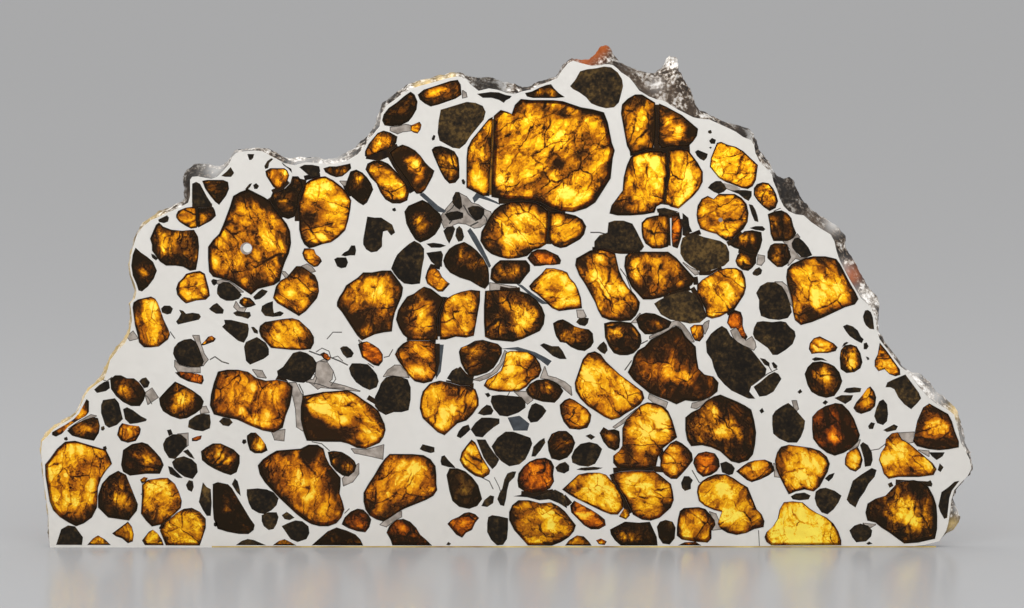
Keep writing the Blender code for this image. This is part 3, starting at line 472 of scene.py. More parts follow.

# The look of each large crystal: its number, the middle and the scale of the part that
# lets light out, painted as a glow, and marks that are brighter or darker, partly painted highlight and shade,
# as place, radius and change.
CRYSTALS = """
01 | blind | 596,86,40,.08
02 | 414,165,0.60 | 413,168,40,-.25 416,160,6,.35 418,170,5,.25 428,166,5,.2 421,175,3,.3 427,180,3,.2
    414,188,3,.2 404,156,6,-.1
03 | blind | 460,125,40,.11 470,106,6,.03
04 | 478,165,0.95 | 480,155,50,-.22 476,178,8,.2 480,185,6,.15 485,150,6,.05 472,158,6,-.15 482,140,6,-.1
    470,140,5,-.3 485,195,7,-.15
05 | 551,155,0.98 | 549,155,75,-.16 557,163,6,-.75 557,163,12,-.2 500,180,7,.3 511,175,6,.15 508,187,8,.1
    562,192,11,.5 588,195,8,.35 575,205,9,.2 600,165,7,.25 598,150,6,.1 512,128,3,.6 530,118,8,.1
    580,150,10,-.15 570,175,10,-.1 545,108,7,-.35 560,112,8,-.3 590,108,10,-.5 605,115,6,-.5 575,98,8,-.5
    565,120,5,.15 540,200,6,-.3 600,205,10,-.4 585,213,8,-.4 515,203,9,-.3 497,197,8,-.2
06 | 636,126,0.90 | 639,123,40,-.18 655,125,8,-.3 625,108,5,.15 630,132,5,.15 637,128,5,.35 645,120,4,.3
    640,140,5,.1 632,118,3,-.2 651,112,5,-.2 635,105,6,-.3 652,135,6,-.4 625,145,5,-.3
07 | 641,180,0.96 | 641,184,50,-.16 650,158,7,.4 640,158,5,.3 632,175,6,.15 645,200,8,.3 630,207,5,.2
    655,178,6,.4 660,187,5,.4 665,160,4,.25 634,188,6,-.15 652,205,4,-.35 615,208,9,-.5 625,160,6,-.3
    666,179,3.5,-.9
08 | 671,127,0.76 | 674,130,40,-.12 664,118,5,.2 677,132,5,.35 690,128,8,-.4 680,117,6,-.15 663,140,5,-.2
09 | 684,178,0.96 | 690,176,7,.3 677,186,6,.25 685,160,8,-.05 680,198,7,.2 690,190,7,.1 697,165,7,-.25
    678,155,5,-.1 697,185,5,-.15
10 | 732,164,0.99 | 724,163,8,.3 717,172,5,.3 730,150,8,.1 745,168,6,.1 748,158,7,-.15 740,155,4,-.1
    729,182,6,-.2 712,155,4,.1
11 | 168,242,0.70 | 160,236,7,.25 172,247,6,.25 164,250,6,.1 185,245,12,.06
12 | 245,245,0.93 | 250,243,60,-.16 245,193,11,-.4 263,202,8,-.3 229,206,8,-.45 221,226,5,-.3 232,264,9,.14
    263,256,8,.14 271,234,8,.12 250,212,10,.08 248,237,8,-.14 286,238,8,-.4 284,262,8,-.4 256,288,11,-.3
    226,279,6,-.2 236,232,6,.08
13 | 326,208,0.96 | 321,213,55,-.16 322,190,12,.22 310,195,8,.2 330,215,12,.15 338,205,8,.12 318,235,7,.2
    304,218,8,-.4 312,222,7,-.35 300,232,8,-.6 305,243,7,-.35 347,195,5,-.15
14 | 519,228,0.92 | 514,230,50,-.10 515,218,10,.25 507,240,6,.35 521,236,10,.12 530,212,6,.1 533,225,6,-.1
    491,225,9,-.5 495,207,8,-.5 497,248,7,-.5 525,252,8,-.4 510,205,8,-.15
15 | blind | 702,250,40,.105
16 | 722,214,0.96 | 720,215,40,-.20 706,208,6,.15 716,213,6,.1 735,200,6,.15 728,228,6,.15 738,212,7,-.3
    712,220,5,-.3 720,200,5,.1 703,225,5,.15 742,225,7,-.3 730,220,4,-.2
17 | 150,322,0.93 | 150,325,35,-.06 149,307,6,.3 155,315,6,.15 148,335,7,.1 137,306,7,-.4 143,343,8,-.2
    164,336,5,-.2
18 | 289,335,0.92 | 288,335,40,-.15 288,334,8,.14 279,327,6,.1 300,340,7,-.05 265,333,5,-.15 308,345,5,-.2
19 | 298,293,0.88 | 297,290,40,-.13 302,290,8,.12 288,297,6,.2 290,276,7,-.2 312,300,6,-.15 279,291,5,-.25
    300,271,8,-.4
20 | 370,295,0.88 | 370,302,50,-.08 380,300,9,.15 360,283,8,.12 350,295,8,.1 392,305,6,.1 365,318,12,-.35
    345,310,6,-.15 385,325,12,-.5 352,325,8,-.5 395,280,6,-.3
21 | 421,313,0.76 | 419,315,40,-.24 417,294,6,.25 422,313,5,.35 415,320,9,.1 430,322,6,.15 433,295,8,-.4
    436,303,5,-.4 404,325,8,-.35 403,300,6,-.2
22 | 457,314,0.94 | 458,313,40,-.13 460,313,8,.35 451,299,6,.3 467,322,6,.1 446,325,6,.1 473,300,6,-.15
    455,335,5,-.2 476,315,3,-.4 445,293,5,-.4
23 | 461,254,0.35 | 463,252,5,.25 461,258,4,.15
24 | 528,318,0.56 | 520,315,40,.10 529,316,9,.35 535,325,6,.15 521,333,6,.25 527,303,5,.2 498,315,3,.3
    499,324,3,.35 488,325,4,.3 487,337,3,.4 500,333,2.5,.4 507,303,5,.1
25 | 558,288,0.98 | 556,287,45,-.07 570,288,7,.45 562,298,6,.4 573,300,5,.4 543,284,6,.15 562,308,6,-.2
    552,298,4,-.25 576,308,5,-.15 548,305,5,-.2 566,278,4,.35
26 | 604,283,0.93 | 609,287,50,-.12 600,280,8,.4 602,289,6,.3 599,258,4,.6 616,305,7,.15 620,288,7,.1
    612,265,8,-.35 618,277,6,-.25 630,308,8,-.45 605,310,7,-.3 585,260,7,-.35 590,290,6,-.2 597,300,6,-.15
27 | 655,272,0.93 | 654,275,50,-.36 634,262,6,.3 636,276,6,.4 653,263,6,.25 665,266,5,.15 675,268,5,.15
    659,280,6,.25 662,290,4,.35 681,283,5,.35 645,265,4,-.4 648,282,7,-.4 640,292,7,-.4 686,270,7,-.35
    668,282,5,-.2 630,290,8,-.4
28 | blind | 682,305,40,.12
29 | 722,288,0.97 | 722,290,40,-.06 725,268,6,.15 708,283,6,.2 722,285,9,.2 712,298,7,.1 735,280,5,.1
    705,307,7,-.35 700,300,5,-.4 710,312,4,.2 738,300,5,-.1
30 | 822,284,0.92 | 816,287,55,-.08 822,282,7,.4 803,270,6,.1 840,283,6,.25 817,297,7,.4 835,297,7,.25
    800,303,7,.2 815,262,4,.15 845,267,10,-.3 808,315,9,-.3 795,262,6,-.35 795,285,5,-.3 850,297,6,-.3
    798,283,5,.2 830,308,8,-.25
31 | 252,402,0.96 | 252,400,55,-.06 250,390,8,.35 262,424,8,.3 228,398,8,.1 240,411,5,.15 272,388,7,.05
    284,395,8,-.1 215,402,6,-.35 289,385,5,-.3 240,377,10,-.15 262,378,8,-.2 290,408,5,-.35 218,376,6,-.3
    250,422,4,.3
32 | blind |
33 | 417,360,0.92 | 418,361,40,-.07 420,373,8,.25 412,345,6,.1 425,352,7,.1 400,365,6,-.3 418,382,6,-.25
    434,347,4,-.2 411,362,4,-.15
34 | 446,408,0.94 | 450,403,40,-.06 432,400,8,.15 426,412,5,.15 451,408,6,.35 443,425,5,.3 437,412,6,.15
    465,395,9,-.25 470,412,7,-.35 455,388,7,-.1 460,425,6,-.3 471,385,6,-.4
35 | 472,356,0.55 | 462,351,4,.25 476,350,5,.15 485,362,8,-.1
36 | 512,368,0.97 | 514,370,30,-.10 510,366,7,.5 516,354,5,.4 505,352,4,.3 492,382,7,.1 515,385,9,.15
    528,355,4,.15 535,368,8,-.25 528,365,6,-.15
37 | 603,384,0.96 | 586,377,9,.35 607,380,6,.2 628,387,7,.3 597,365,6,.1 612,407,5,.2 623,398,6,.1
    590,395,6,-.1 600,405,6,-.2 637,398,5,-.15 616,378,4,-.2 588,365,4,-.2 590,355,6,-.3 622,412,6,-.4
    600,415,5,-.3
38 | 678,372,0.42 | 675,370,50,-.14 668,373,8,.45 683,376,6,.3 690,380,4,.35 668,378,2,-.2 647,362,4,.2
    655,368,8,.1
39 | blind |
40 | 74,482,0.97 | 52,470,11,.26 70,450,12,.14 93,486,5,.25 66,512,8,.08 85,475,12,-.03 60,490,10,.04
    107,463,9,-.35 103,490,7,-.3 92,515,11,-.5 72,524,8,-.45 79,502,8,.1
41 | 300,487,0.87 | 309,486,50,-.08 301,481,7,.35 312,497,9,.28 317,481,6,.2 269,466,5,.35 285,462,9,.08
    335,500,6,.1 329,516,8,.1 310,455,13,-.5 335,478,8,-.35 272,488,8,-.3 285,505,8,-.35 300,520,8,-.35
    262,480,8,-.3
42 | 338,410,0.92 | 330,397,12,.25 320,409,8,.45 345,400,10,.15 330,415,10,.2 343,422,6,.4 365,420,5,.2
    378,424,5,.2 370,438,8,.35 355,427,9,-.45 312,425,12,-.6 325,437,14,-.6 343,436,9,-.55 304,415,6,-.5
    375,408,6,-.15
43 | 648,428,0.90 | 645,435,35,.05 651,431,6,.55 658,420,7,.3 643,442,6,.25 666,430,4,.35 636,415,6,.05
    630,425,6,-.25 650,455,9,-.5 630,450,8,-.6 665,445,5,-.2
44 | 716,420,0.56 | 715,420,35,.12 721,430,6,.5 717,412,5,.35 725,425,4,.3 707,410,5,.2 701,422,5,.15
    740,420,18,.05
45 | 805,468,0.93 | 803,470,12,.1 806,460,9,.2 800,472,9,.15 820,470,5,.15 785,450,8,-.45 815,447,7,-.15
    783,465,5,-.35 805,490,5,-.1 826,480,5,-.3 812,482,5,.1
46 | 838,436,0.42 | 838,432,30,-.10 838,436,5,.15 843,433,4,.1
47 | 908,458,0.97 | 901,456,35,.05 898,455,8,.35 886,459,4,.3 928,458,6,.2 933,465,4,.2 912,448,6,-.15
    893,440,7,-.15 888,470,7,-.3 910,472,8,-.3 918,465,5,-.1 915,456,4,-.15
48 | 936,424,0.70 | 931,424,5,.3 940,422,4,.2 922,433,4,.15 935,405,8,-.1 930,445,8,-.25 950,440,8,-.15
49 | 119,497,0.55 | 118,498,25,.05 121,502,7,.4 118,484,5,.18 133,493,4,.12
50 | 158,492,0.82 | 160,500,30,.05 152,488,8,.4 167,489,7,.35 163,498,6,.15 150,512,9,-.3 161,512,4,.3
    169,518,4,.3
51 | 184,531,0.87 | 186,528,11,.2 180,519,6,.12 176,542,8,.1 194,545,6,.15
52 | 228,505,0.20 | 228,505,30,-.20 228,493,5,.2 227,512,4,.25 230,523,4,.2
53 | 402,483,0.90 | 399,488,50,.06 402,485,12,.12 420,470,8,.2 412,485,8,.1 415,494,5,.2 380,490,6,.15
    395,480,7,.05 372,503,8,-.3 390,512,8,-.35 400,505,7,-.2 378,465,6,-.25 430,485,6,-.1 420,510,6,-.2
    370,490,4,.25
54 | 545,524,0.93 | 542,520,40,-.10 553,513,6,.35 545,512,6,.2 552,528,8,.25 538,540,7,.2 524,520,7,.05
    563,525,6,-.1 518,505,6,-.15 515,515,6,-.3 560,540,7,-.2 527,505,3,.25
55 | 594,492,0.98 | 598,493,35,.05 600,488,9,.4 607,502,7,.25 588,480,5,.15 580,495,6,-.1 618,512,5,-.1
    570,490,4,-.3 600,476,5,.2
56 | 643,491,0.96 | 650,485,6,.35 629,485,7,.25 664,485,7,.2 633,498,4,.3 640,510,5,.1 640,480,5,-.1
    665,508,8,-.5 630,505,5,-.2 622,500,5,-.4 645,503,2,-.3
57 | 728,500,0.96 | 729,503,40,.10 721,485,6,.45 731,493,4,.4 708,492,6,.1 741,517,7,.3 725,520,6,.25
    730,480,3,.2 735,503,9,-.25 715,503,6,-.25 748,490,6,-.25 755,520,8,-.5 712,476,6,-.25 730,530,7,-.45
58 | 805,527,1.03 | 800,523,45,.28 800,525,16,.12 790,515,8,.12 800,535,10,.25 808,520,8,.15 790,505,6,.05
    772,540,6,.15 830,530,7,.05 815,543,5,.2
59 | 908,508,0.66 | 908,508,16,.12 905,503,7,.3 914,522,6,.35 908,515,5,.25 922,490,4,.15 925,500,5,.05
    900,515,5,.1
"""

pockets = bmesh.new()
for entry in entries(CRYSTALS):
    number, window, marks = (part.strip() for part in entry.split("|"))
    name = "olivine_crystal_" + number
    source = bmesh.new()
    source.from_mesh(nodes[name].data)
    bmesh.ops.remove_doubles(source, verts=source.verts, dist=WELD)
    deepest = max(vert.co.y for vert in source.verts)
    front = grown(flat_outline(source, FRONT), CAD_GAP)
    rear = grown(flat_outline(source, deepest), CAD_GAP)
    source.free()
    kind = next(kind for kind, slot in SLOTS.items() if slot == slot_of[name])
    if window != "blind":
        rear = shrunk(front, OPEN_SHRINK, BACK)
        loose, loose_rear = grown(front, OPEN_PLAY), grown(rear, OPEN_PLAY)
        add_prism(pockets, [overrun(loose, -1), loose, loose_rear, overrun(loose_rear, 1)])
    crystal = bmesh.new()
    add_crystal(crystal, front, rear, kind, read_window(window), read_marks(marks), FINE_STEP)
    make_piece("clear_crystal_" + number, crystal, olivine_looks[kind], [name])


# The small grains: olivine of 0.5 to 11 mm that sits in its own pockets, too many to be
# solids. Each entry gives the colour and the outline, then the middle and the scale of the
# bright part of painted glow for a grain that lets light through, then its marks, partly painted highlight and
# shade. The others are shallow.
GRAIN_DEPTH = 2.2 * MM
GRAIN_SHRINK = 0.85
GRAIN_PLAY = 0.02 * MM
COARSE_STEP = 1.1 * MM
GRAINS = """
A | 52,434.5 66,426.5 73.5,421.5 79,415.5 86.5,401 89,403 89,414 86,418 77,423 68,429 62,436 56,439 52,437.5
    | 72,425,0.85
B | 67,433 74,427 84,422 93,419 98,420 100,428 99,435 94,443 83,441 72,438 | 84,430,0.4 | 88,432,6,.25
    76,434,5,.15
D | 103,402 115,400 119,405 123,421 117,427 109,430 105,427 101,415 101,407
D | 123,411 127,409 133,412 141,418 147,421 146,423 138,425 130,426 125,421
A | 122,425 130,427 139,428 141,431 140,436 136,443 128,445 121,443 117,437 119,429 | 129,435,0.95
B | 123,452 132,446 142,444 148,446 155,453 161,460 164,467 160,476 146,476 130,478 123,474 121,467 |
    148,462,0.3 | 142,462,20,-.10 152,461,6,.3 146,456,5,.2 133,460,8,.08
G | 149,534 153,532 158,536 162,542 164,547.8 145,547.8 142,543 | 153,541,0.9
G | 112,536 128,524 132,529 134,537 133,544 128,546 122,541 116,539 | 126,537,0.95
A | 87,547.8 93,541 98,538 105,542 111,547.8 | 99,544,0.9
D | 61,532 68,528 75,529 83,540 82,547.8 56,547.8
B | 159,400 167,391 175,383 184,387 193,392 201,398 204,403 202,410 196,415 187,420 180,421 171,418 163,413
    160,407 | 183,399,0.55 | 186,396,8,.3 176,404,6,.15 193,405,5,.15 175,392,5,-.15
D | 189,422 196,417 202,415 210,416 211,424 210,430 203,433 195,432 188,429
D | 163,446 166,440 173,436 181,436 187,441 187,448 181,455 175,461 169,460 164,452
B | 172,464 176,460 184,458 192,461 197,466 198,474 193,481 185,479 179,475 174,470
D | 168,468 172,469 183,480 178,480 170,476
D | 189,482 193,483 194,489 192,494 188,492 186,487
O | 192,440 197,438 202,437 201,441 197,443 192,443 | 197,440,0.9
B | 203,484 207,489 211,491 212,505 211,518 207,518 203,512 199,504 | | 206,492,4,.3 208,503,4,.15
G | 140,482 144,479 148,480 146,484 142,486 | 144,482,0.9
D | 183,453 188,451 192,456 195,461 190,459
D | 167,432 171,431 173,436 169,438
B | 201,453 206,449 213,445 221,445 234,451 240,457 240,465 237,474 231,477 224,475 215,471 208,467 202,462
    | 225,461,0.45 | 221,461,16,.10 217,460,6,.3 229,463,6,.35 222,455,5,.15
D | 219,423 223,419 230,420 233,424 229,428 223,427
B | 247,441 247,437 251,434 256,434 261,439 266,446 268,452 262,455 255,455 250,452 248,446 | 260,447,0.6 |
    256,445,12,.20 260,447,6,.4 252,440,6,-.3 263,440,5,.2
B | 328,453 334,452 342,453 349,457 355,462 357,467 355,473 349,478 343,477 336,472 331,466 | 348,469,0.35 |
    348,469,5,.3
D | 247,491 258,490 267,491 274,494 279,500 277,507 272,512 265,516 259,515 252,511 249,505 247,497
D | 262,517 269,514 277,514 279,519 277,526 274,531 269,532 264,528 262,523
B | 282,517 287,513.5 291,516 295,519.5 290,522 285,521
D | 282,528 288,525 296,522 303,523 309,528 310,535 307,541 298,544 291,541
D | 232,486 235,480 238,483 240,491 241,498 237,494
D | 236,547.4 242,543 248,541 254,542 267,547.4
G | 273,547.4 279,543 285,541 291,544 297,547.4 | 285,545,0.8
B | 312,547.2 328,533 337,529 347,532 356,536 361,541 364,547.2 | 338,543,0.3
O | 342,526 345,519 351,513 358,510 364,511 369,516 372,521 370,529 366,534 358,533 349,530 | 357,522,0.75 |
    359,522,14,-.20
O | 387,534 390,527 397,521 404,520 411,523 417,529 421,536 427,541 433,547 393,547 391,541 | 407,533,0.5 |
    406,533,18,-.12 400,528,6,.25 410,535,6,.15
D | 478,414 482,409 487,405 491,406 494,411 492,415 484,416
D | 471,430 476,423 482,418 491,418 500,419 500,424 494,428 488,433 483,438 476,437
D | 457,437 459,432 463,427 469,425 471,430 466,435 461,439
D | 477,440 486,440 490,447 495,454 500,460 497,466 493,470 488,464 484,458
G | 472,440 476,443 483,458 491,471 490,475 484,479 476,477 470,473 464,468 460,461 462,453 467,446 |
    475,461,0.95 | 482,471,6,.35 468,452,6,.2 468,463,5,.15
D | 492,396 500,395 522,397 526,402 526,408 519,413 508,417 500,416 494,409 491,402
D | 529,412 532,405 536,403 543,406 547,411 543,417 538,422 531,423 528,418
A | 560,405 565,400 570,398 575,400 588,409 592,415 591,422 588,428 580,430 570,429 564,422 561,414 |
    574,415,0.85 | 575,414,18,.20
B | 492,447 498,438 506,432 514,432 531,438 533,444 530,452 526,460 520,465 510,467 502,462 496,455
D | 532,457 534,447 540,441 545,438 546,443 541,451 536,457
B | 548,442 552,434 559,431 567,431 573,436 576,443 573,452 568,458 560,461 552,459 549,451 | 561,441,0.35
D | 572,457 575,450 581,444 590,442 598,444 603,449 600,457 596,464 589,467 580,466 573,463
D | 556,468 560,464 566,462 570,466 570,471 565,474 558,472
D | 586,436 591,434 596,437 592,440
B | 577,470 582,468 594,467 604,468 598,470 586,471
O | 518,481 519,474 524,467 530,462 537,459 546,458 552,461 555,467 554,475 555,482 551,489 545,492 534,494
    525,492 519,488 | 540,474,0.75 | 536,477,7,.2 547,483,6,.15 538,466,6,.2 552,470,5,-.2
D | 514,497 524,495 536,497 546,494 556,490 564,494 568,502 568,509 560,504 550,500 540,501 528,498
O | 571,506 575,501 592,510 600,515 606,520 607,526 600,530 592,530 585,526 572,513 | 589,516,0.92 |
    590,518,16,.20
A | 566,546.4 570,541 578,536 585,537 590,542 593,546.4 | 579,543,0.85
D | 488,524 489,518 493,516 500,517 509,519 509,530 508,540 504,546 498,546.6 492,541 488,533
O | 448,525 452,521 459,518 465,514 470,513 476,515 480,519 476,524 473,531 467,534 463,539 457,536 |
    463,525,0.93
D | 447,476 450,469 458,469 466,472 473,478 479,486 483,500 478,507 470,510 460,508 453,502 450,492 |
    466,489,0.2 | 464,489,16,.25 468,491,4,.5 462,487,3,.35
D | 441,462 442,457 445,456 449,461 455,467 456,469 449,468 442,466
D | 420,450 423,445 435,448 435,453 431,454 424,452
D | 505,480 508,474 513,472 517,472 515,478 510,483 508,491 507,499 505,507 501,506 498,500 500,494 503,489
D | 482,507 485,501 491,496 495,497 494,504 488,508
D | 447,546 449,543 452,545 450,546.8
G | 620,517 625,509 630,509 631,516 627,520 | 626,514,0.9
B | 600,433 604,427 609,430 615,429 620,431 621,440 620,448 616,451 609,448 604,442 | 612,440,0.45
A | 661,463 662,455 666,449 671,443 677,440 683,443 689,448 693,453 694,460 689,467 683,474 678,479 672,479
    666,475 661,469 | 673,456,0.72 | 676,460,18,.12 672,448,6,.2 672,462,6,.25 684,455,6,-.15
B | 611,530 626,522 640,523 651,522 658,537 659,546 622,546.2 616,541 612,535 | 630,539,0.35 | 628,536,7,.25
    642,530,6,.1
D | 658,527 661,522 667,520 674,522 677,528 676,539 671,545 664,544 660,538 | 669,524,0.2
A | 678,528 679,519 681,511 685,508 700,507 707,509 716,520 717,525 713,531 713,539 709,543 695,542 683,540
    678,536 | 694,525,0.86 | 690,535,5,.25 700,520,7,.2 685,522,5,.1
O | 694,463 695,458 699,453 707,451 716,453 720,459 721,466 718,471 712,475 704,477 698,472 | 707,463,0.72 |
    700,468,5,.25 712,458,5,.2
D | 721,463 727,461 733,464 736,468 734,474 730,475 723,472
A | 737,471 743,466 749,462 755,460 766,459 773,462 776,470 770,475 762,479 753,482 748,480 | 757,470,0.93 |
    757,470,16,.26
D | 682,483 685,476 690,476 694,480 692,484 692,489 686,491 683,488
O | 679,545.8 686,542.5 697,542 703,545.8 | 690,544.5,0.7
D | 792,496 797,493 806,492 812,495 810,499 801,500 794,499
D | 773,415 776,410 783,405 789,402 794,406 806,420 805,428 802,436 798,442 789,442 780,438 774,433 773,424
G | 846,458 848,452 854,448 859,446 862,452 864,459 862,467 857,471 851,469 846,464 | 855,459,0.93 |
    855,457,6,.2 861,462,4,-.3
D | 861,444 864,441 869,444 873,451 874,459 872,465 866,466 865,457
D | 873,467 878,469 876,476 870,483 866,491 861,498 857,507 851,503 848,499 854,480 862,474
D | 817,491 821,488 827,487 836,490 843,495 840,502 835,509 829,514 823,512 818,505 816,498
D | 826,478 830,474 836,472 834,477 830,481
D | 851,530 856,525 862,523 870,525 874,530 873,536 868,541 858,542 854,537
D | 930,451 946,451 944,455 938,459 933,455
D | 943,491 950,486 956,480.5 961,479.5 953.5,489.5 951,497 949,517 946,518 942,511 940,505
G | 854,407 857,401 863,394 868,387 871,385 875,390 877,396 876,405 871,410 862,413 857,411 | 862,400,0.62 |
    868,392,7,.25 858,408,6,-.3
D | 875,415 877,407 880,400 884,398 888,403 889,413 888,420 884,424 878,422
D | 869,425 872,421 876,422 874,428 870,428
D | 884,429 895,423 899,425 897,429 888,431
D | 835,397 842,394 854,394 852,399 846,403
D | 844,391 847,387 855,386 862,387 861,391 850,392
D | 798,391 801,388 803,391 800,393
D | 823,402 826,399 829,401 826,404
D | 889,483 893,481 895,485 891,487
D | 927,481.5 932,479 934,483 933,486 930,484
D | 868,543 871,541 874.5,543.3 870,544.5
D | 760,410 763,407 765,411 762,413
O | 597,541 602,539 608,542 606,545.8 600,545 | 602,543,0.8
D | 941,462 945,466 942,471 939,469
B | 135.5,249 141,254 147,258 153,263 157,272 154,280 148,288 142,293 138.5,292 136.2,285 132.7,277
    131.2,267 132.6,256 | 143,274,0.4 | 142,272,16,-.30 143,272,7,.2 150,262,5,.1
D | 158,221 167,216.5 169,219 168,223 164,224.5 159,223.5
G | 176,216 178,212 185,209 192,208 196,209 197,229 191,230 185,227 179,223 176,219 | 187,218,0.93
B | 197,209 207,209 213,208 215,212 216,217 211,222 198,229 | 207,216,0.55
D | 217,290 218,286 223,283 229,283 234,287 239,292 242,296 239,300 233,302 226,302 220,299 217,295
D | 211,282 213,280 217,281 217,285 214,287 212,285
B | 240,301 244,298 250,299 254,303 256,306 251,308 246,309 242,307 239,304 | 247,303,0.5
D | 258,293 262,290 268,292 265,296 260,300 255,301 253,298
D | 209,310 213,306 217,304 224,311 223,315 216,315 211,312
D | 233,314 237,312 245,313 250,313 251,317 248,320 242,318 236,317
D | 262,307 267,304 273,302 273,309 274,314 280,312 284,314 281,317 273,318 265,317 261,312
D | 161,310 164,307 170,307 173,310 171,315 167,316 162,314
D | 179,311 183,312 186,315 193,314 199,315 201,318 199,321 178,326 176,323 179,319 181,315
D | 222,328 225,325 224,321 231,321 248,325 249,330 248,337 244,344 238,342 226,332
D | 251,328 254,328 258,332 258,335 254,334
D | 244,348 246,343 257,338 266,344 269,350 269,356 264,360 250,366 246,362
A | 201,346 205,342 208,338 212,337 216,340 214,343 203,347 | 209,341,0.95
D | 173,355 174,349 178,344 184,341 191,340 196,343 199,349 204,363 202,368 195,369 187,368 179,366 175,360
O | 175,374 181,373 197,375 203,377 204,382 202,386 188,383 180,379 | 191,379,0.93
B | 110,381 115,377 121,377 127,380 134,380 139,384 143,389 146,395 144,402 140,408 131,408 123,404 116,398
    111,391 | 122,392,0.5 | 129,391,20,-.20 120,388,7,.3 130,397,6,.2 112,384,5,.15
D | 139,383 142,380 146,379 150,384 148,389 144,390
D | 94,391.5 99,387 104.5,383.5 109,383 110,390 106,393 97,395
A | 302,254 304,249 309,249 314,250 316,255 320,258 322,262 318,267 314,268 309,265 304,260 | 311,258,0.94
D | 363,240 367,217 374,218 381,218 392,225 395,233 391,236 387,231 383,232 382,239 382,247 377,252 371,253
    366,250 363,245
D | 334,260 337,258 346,258 348,263 346,268 341,269 337,267
D | 341,256 344,253 348,251 351,246 355,246 356,251 355,256 350,256 345,257
D | 340,349 343,347 347,347 351,350 354,354 352,358 347,359 343,355
O | 358,345 361,343 367,342 373,345 379,349 383,355 383,362 379,367 374,366 362,358 | 371,354,0.9
O | 320,355 324,353 328,355 331,360 328,362 324,360 | 325,356,0.9
D | 349,369 352,364 360,364 368,365 373,370 377,375 379,382 377,388 370,391 363,388 356,383 351,376
D | 277,372 283,368 293,354 300,352 307,354 313,358 317,364 316,372 311,380 304,384 294,383 285,380 278,377
D | 391,269 394,261 397,255 403,249 409,244 414,241 420,244 424,249 424,258 422,268 420,284 412,285 404,284
    398,279 394,274
B | 404,212 408,206 422,200 428,203 434,209 440,214 442,220 440,227 435,235 428,240 420,243 415,240 410,232
    406,224 | 420,224,0.5 | 424,222,18,-.12 420,222,7,.25 425,230,5,.1 412,215,5,.1
D | 443,231 447,227 453,226 455,229 452,238 449,244 446,239
D | 456,229 459,226 462,229 464,237 462,241 458,242 455,236
D | 426,244 433,243 441,244 446,246 440,248 431,248
D | 426,253 441,251 443,255 442,262 442,267 437,267 431,262
A | 425,278 427,271 430,265 439,271 442,277 447,282 450,284 443,292 438,292 427,284 | 435,280,0.95
D | 447,379 452,371 457,368 462,371 466,376.5 474,379 473,384 464,384 455,383
G | 549,212 558,211 575,215 582,219 586,226 584,234 580,239 566,247 560,248 554,246 549,242 548,232 549,222
    | 560,229,0.78 | 565,230,20,-.16 565,233,8,.25 560,222,7,.15 575,228,5,.1
O | 527,258 531,252 537,249 545,249 558,255 561,260 560,264 553,265 546,265 540,266 534,266 530,262 |
    540,257,0.55 | 544,259,14,-.18 538,256,6,.25 550,258,5,.2
B | 491,269 495,264 500,260 526,260 530,265 530,271 525,277 520,284 503,284 495,283 490,279 | 510,276,0.45 |
    512,272,7,.2 500,268,6,.1 520,268,5,.1
D | 540,345 544,343 552,346 559,346 563,351 567,359 560,359 553,356
B | 553,323 558,320 563,319 569,322 575,326 582,328 589,329 593,333 594,342 591,347 585,351 578,350 571,347
    566,343 560,342 556,336 554,329 | 583,341,0.4
D | 576,322 579,318 585,317 589,318 588,323 585,326 580,325
D | 608,222 614,220 623,220 632,223 636,230 644,246 641,250 616,250 606,248 594,247 594,241 599,235 607,232
    | | 616,236,20,.05
O | 729,313 735,309 741,311 743,317 743,325 745,331 748,336 746,339 742,337 739,331 736,327 731,328 727,322
    | 735,318,0.9 | 739,325,12,.22
G | 641,230 641,222 646,217 654,215 662,214 668,214 669,224 669,235 668,246 661,248 652,248 645,243 642,237
    | 655,228,0.9 | 655,230,18,-.30
O | 671,214 679,213 681,222 681,233 678,242 672,246 671,236 | 675,226,0.8 | 676,229,12,.22
D | 682,212 688,217 689,225 692,231 682,234
B | 729,244 738,235 744,230 752,229 761,231 762,239 760,247 757,253 750,253 741,249 734,247 | 748,237,0.6 |
    748,242,16,-.24 745,240,8,.15 755,236,5,.1
D | 749,227 755,225 762,225 765,228 763,230 755,229
B | 737,254 740,251 756,255 756,262 752,267 748,270 742,269 737,265 735,260 | 744,257,0.5 | 742,258,5,.25
    750,264,4,.1
D | 752,272 755,268 759,266 762,269 761,273 757,275 753,274
B | 767,257 767,251 770,244 774,242 782,242 787,243 791,256 787,263 782,266 777,266 772,262 | 773,257,0.4 |
    772,260,5,.25 778,257,4,.2
B | 767,213 774,210 781,209 787,212 791,217 793,225 796,232 793,237 787,240 773,240 770,233 769,223 |
    773,217,0.2 | 772,218,5,.3 785,232,5,.15
D | 791,242 794,237 798,236 803,240 808,246 812,254 807,256 801,256 792,247
D | 756,292 760,285 767,281 775,281 782,285 787,293 790,302 792,311 788,317 779,319 769,318 761,315 759,307
    759,299
D | 754,327 757,321 763,320 772,321 781,320 786,321 790,326 795,330 796,335 793,343 786,349 778,354 773,354
    768,347 755,338 753,333
D | 754,386 761,381 769,374 775,371 779,373 782,378 774,391 767,395 760,396 | | 769,383,12,.07
D | 772,362 774,361 778,365 777,368 774,367
D | 760,357 765,358 770,362 770,366 765,364
A | 690,327 694,324 703,324 704,330 704,336 700,341 695,340 692,335 | 698,332,0.92
B | 636,319 640,314 646,312 655,313 672,321 669,327 661,331 652,334 645,334 639,328 | 663,325,0.25 |
    663,325,4,.25
B | 604,323 611,321 621,321 631,322 636,327 641,334 642,341 640,347 634,353 628,355 620,355 614,353 609,346
    605,337 | 612,332,0.4 | 612,330,7,.2 626,342,5,.1
D | 597,348 600,344 604,341 607,345 608,350 605,354 601,352
B | 526,390 530,384 537,380 546,379 554,381 560,385 564,391 560,398 555,403 543,402 533,399 528,395 |
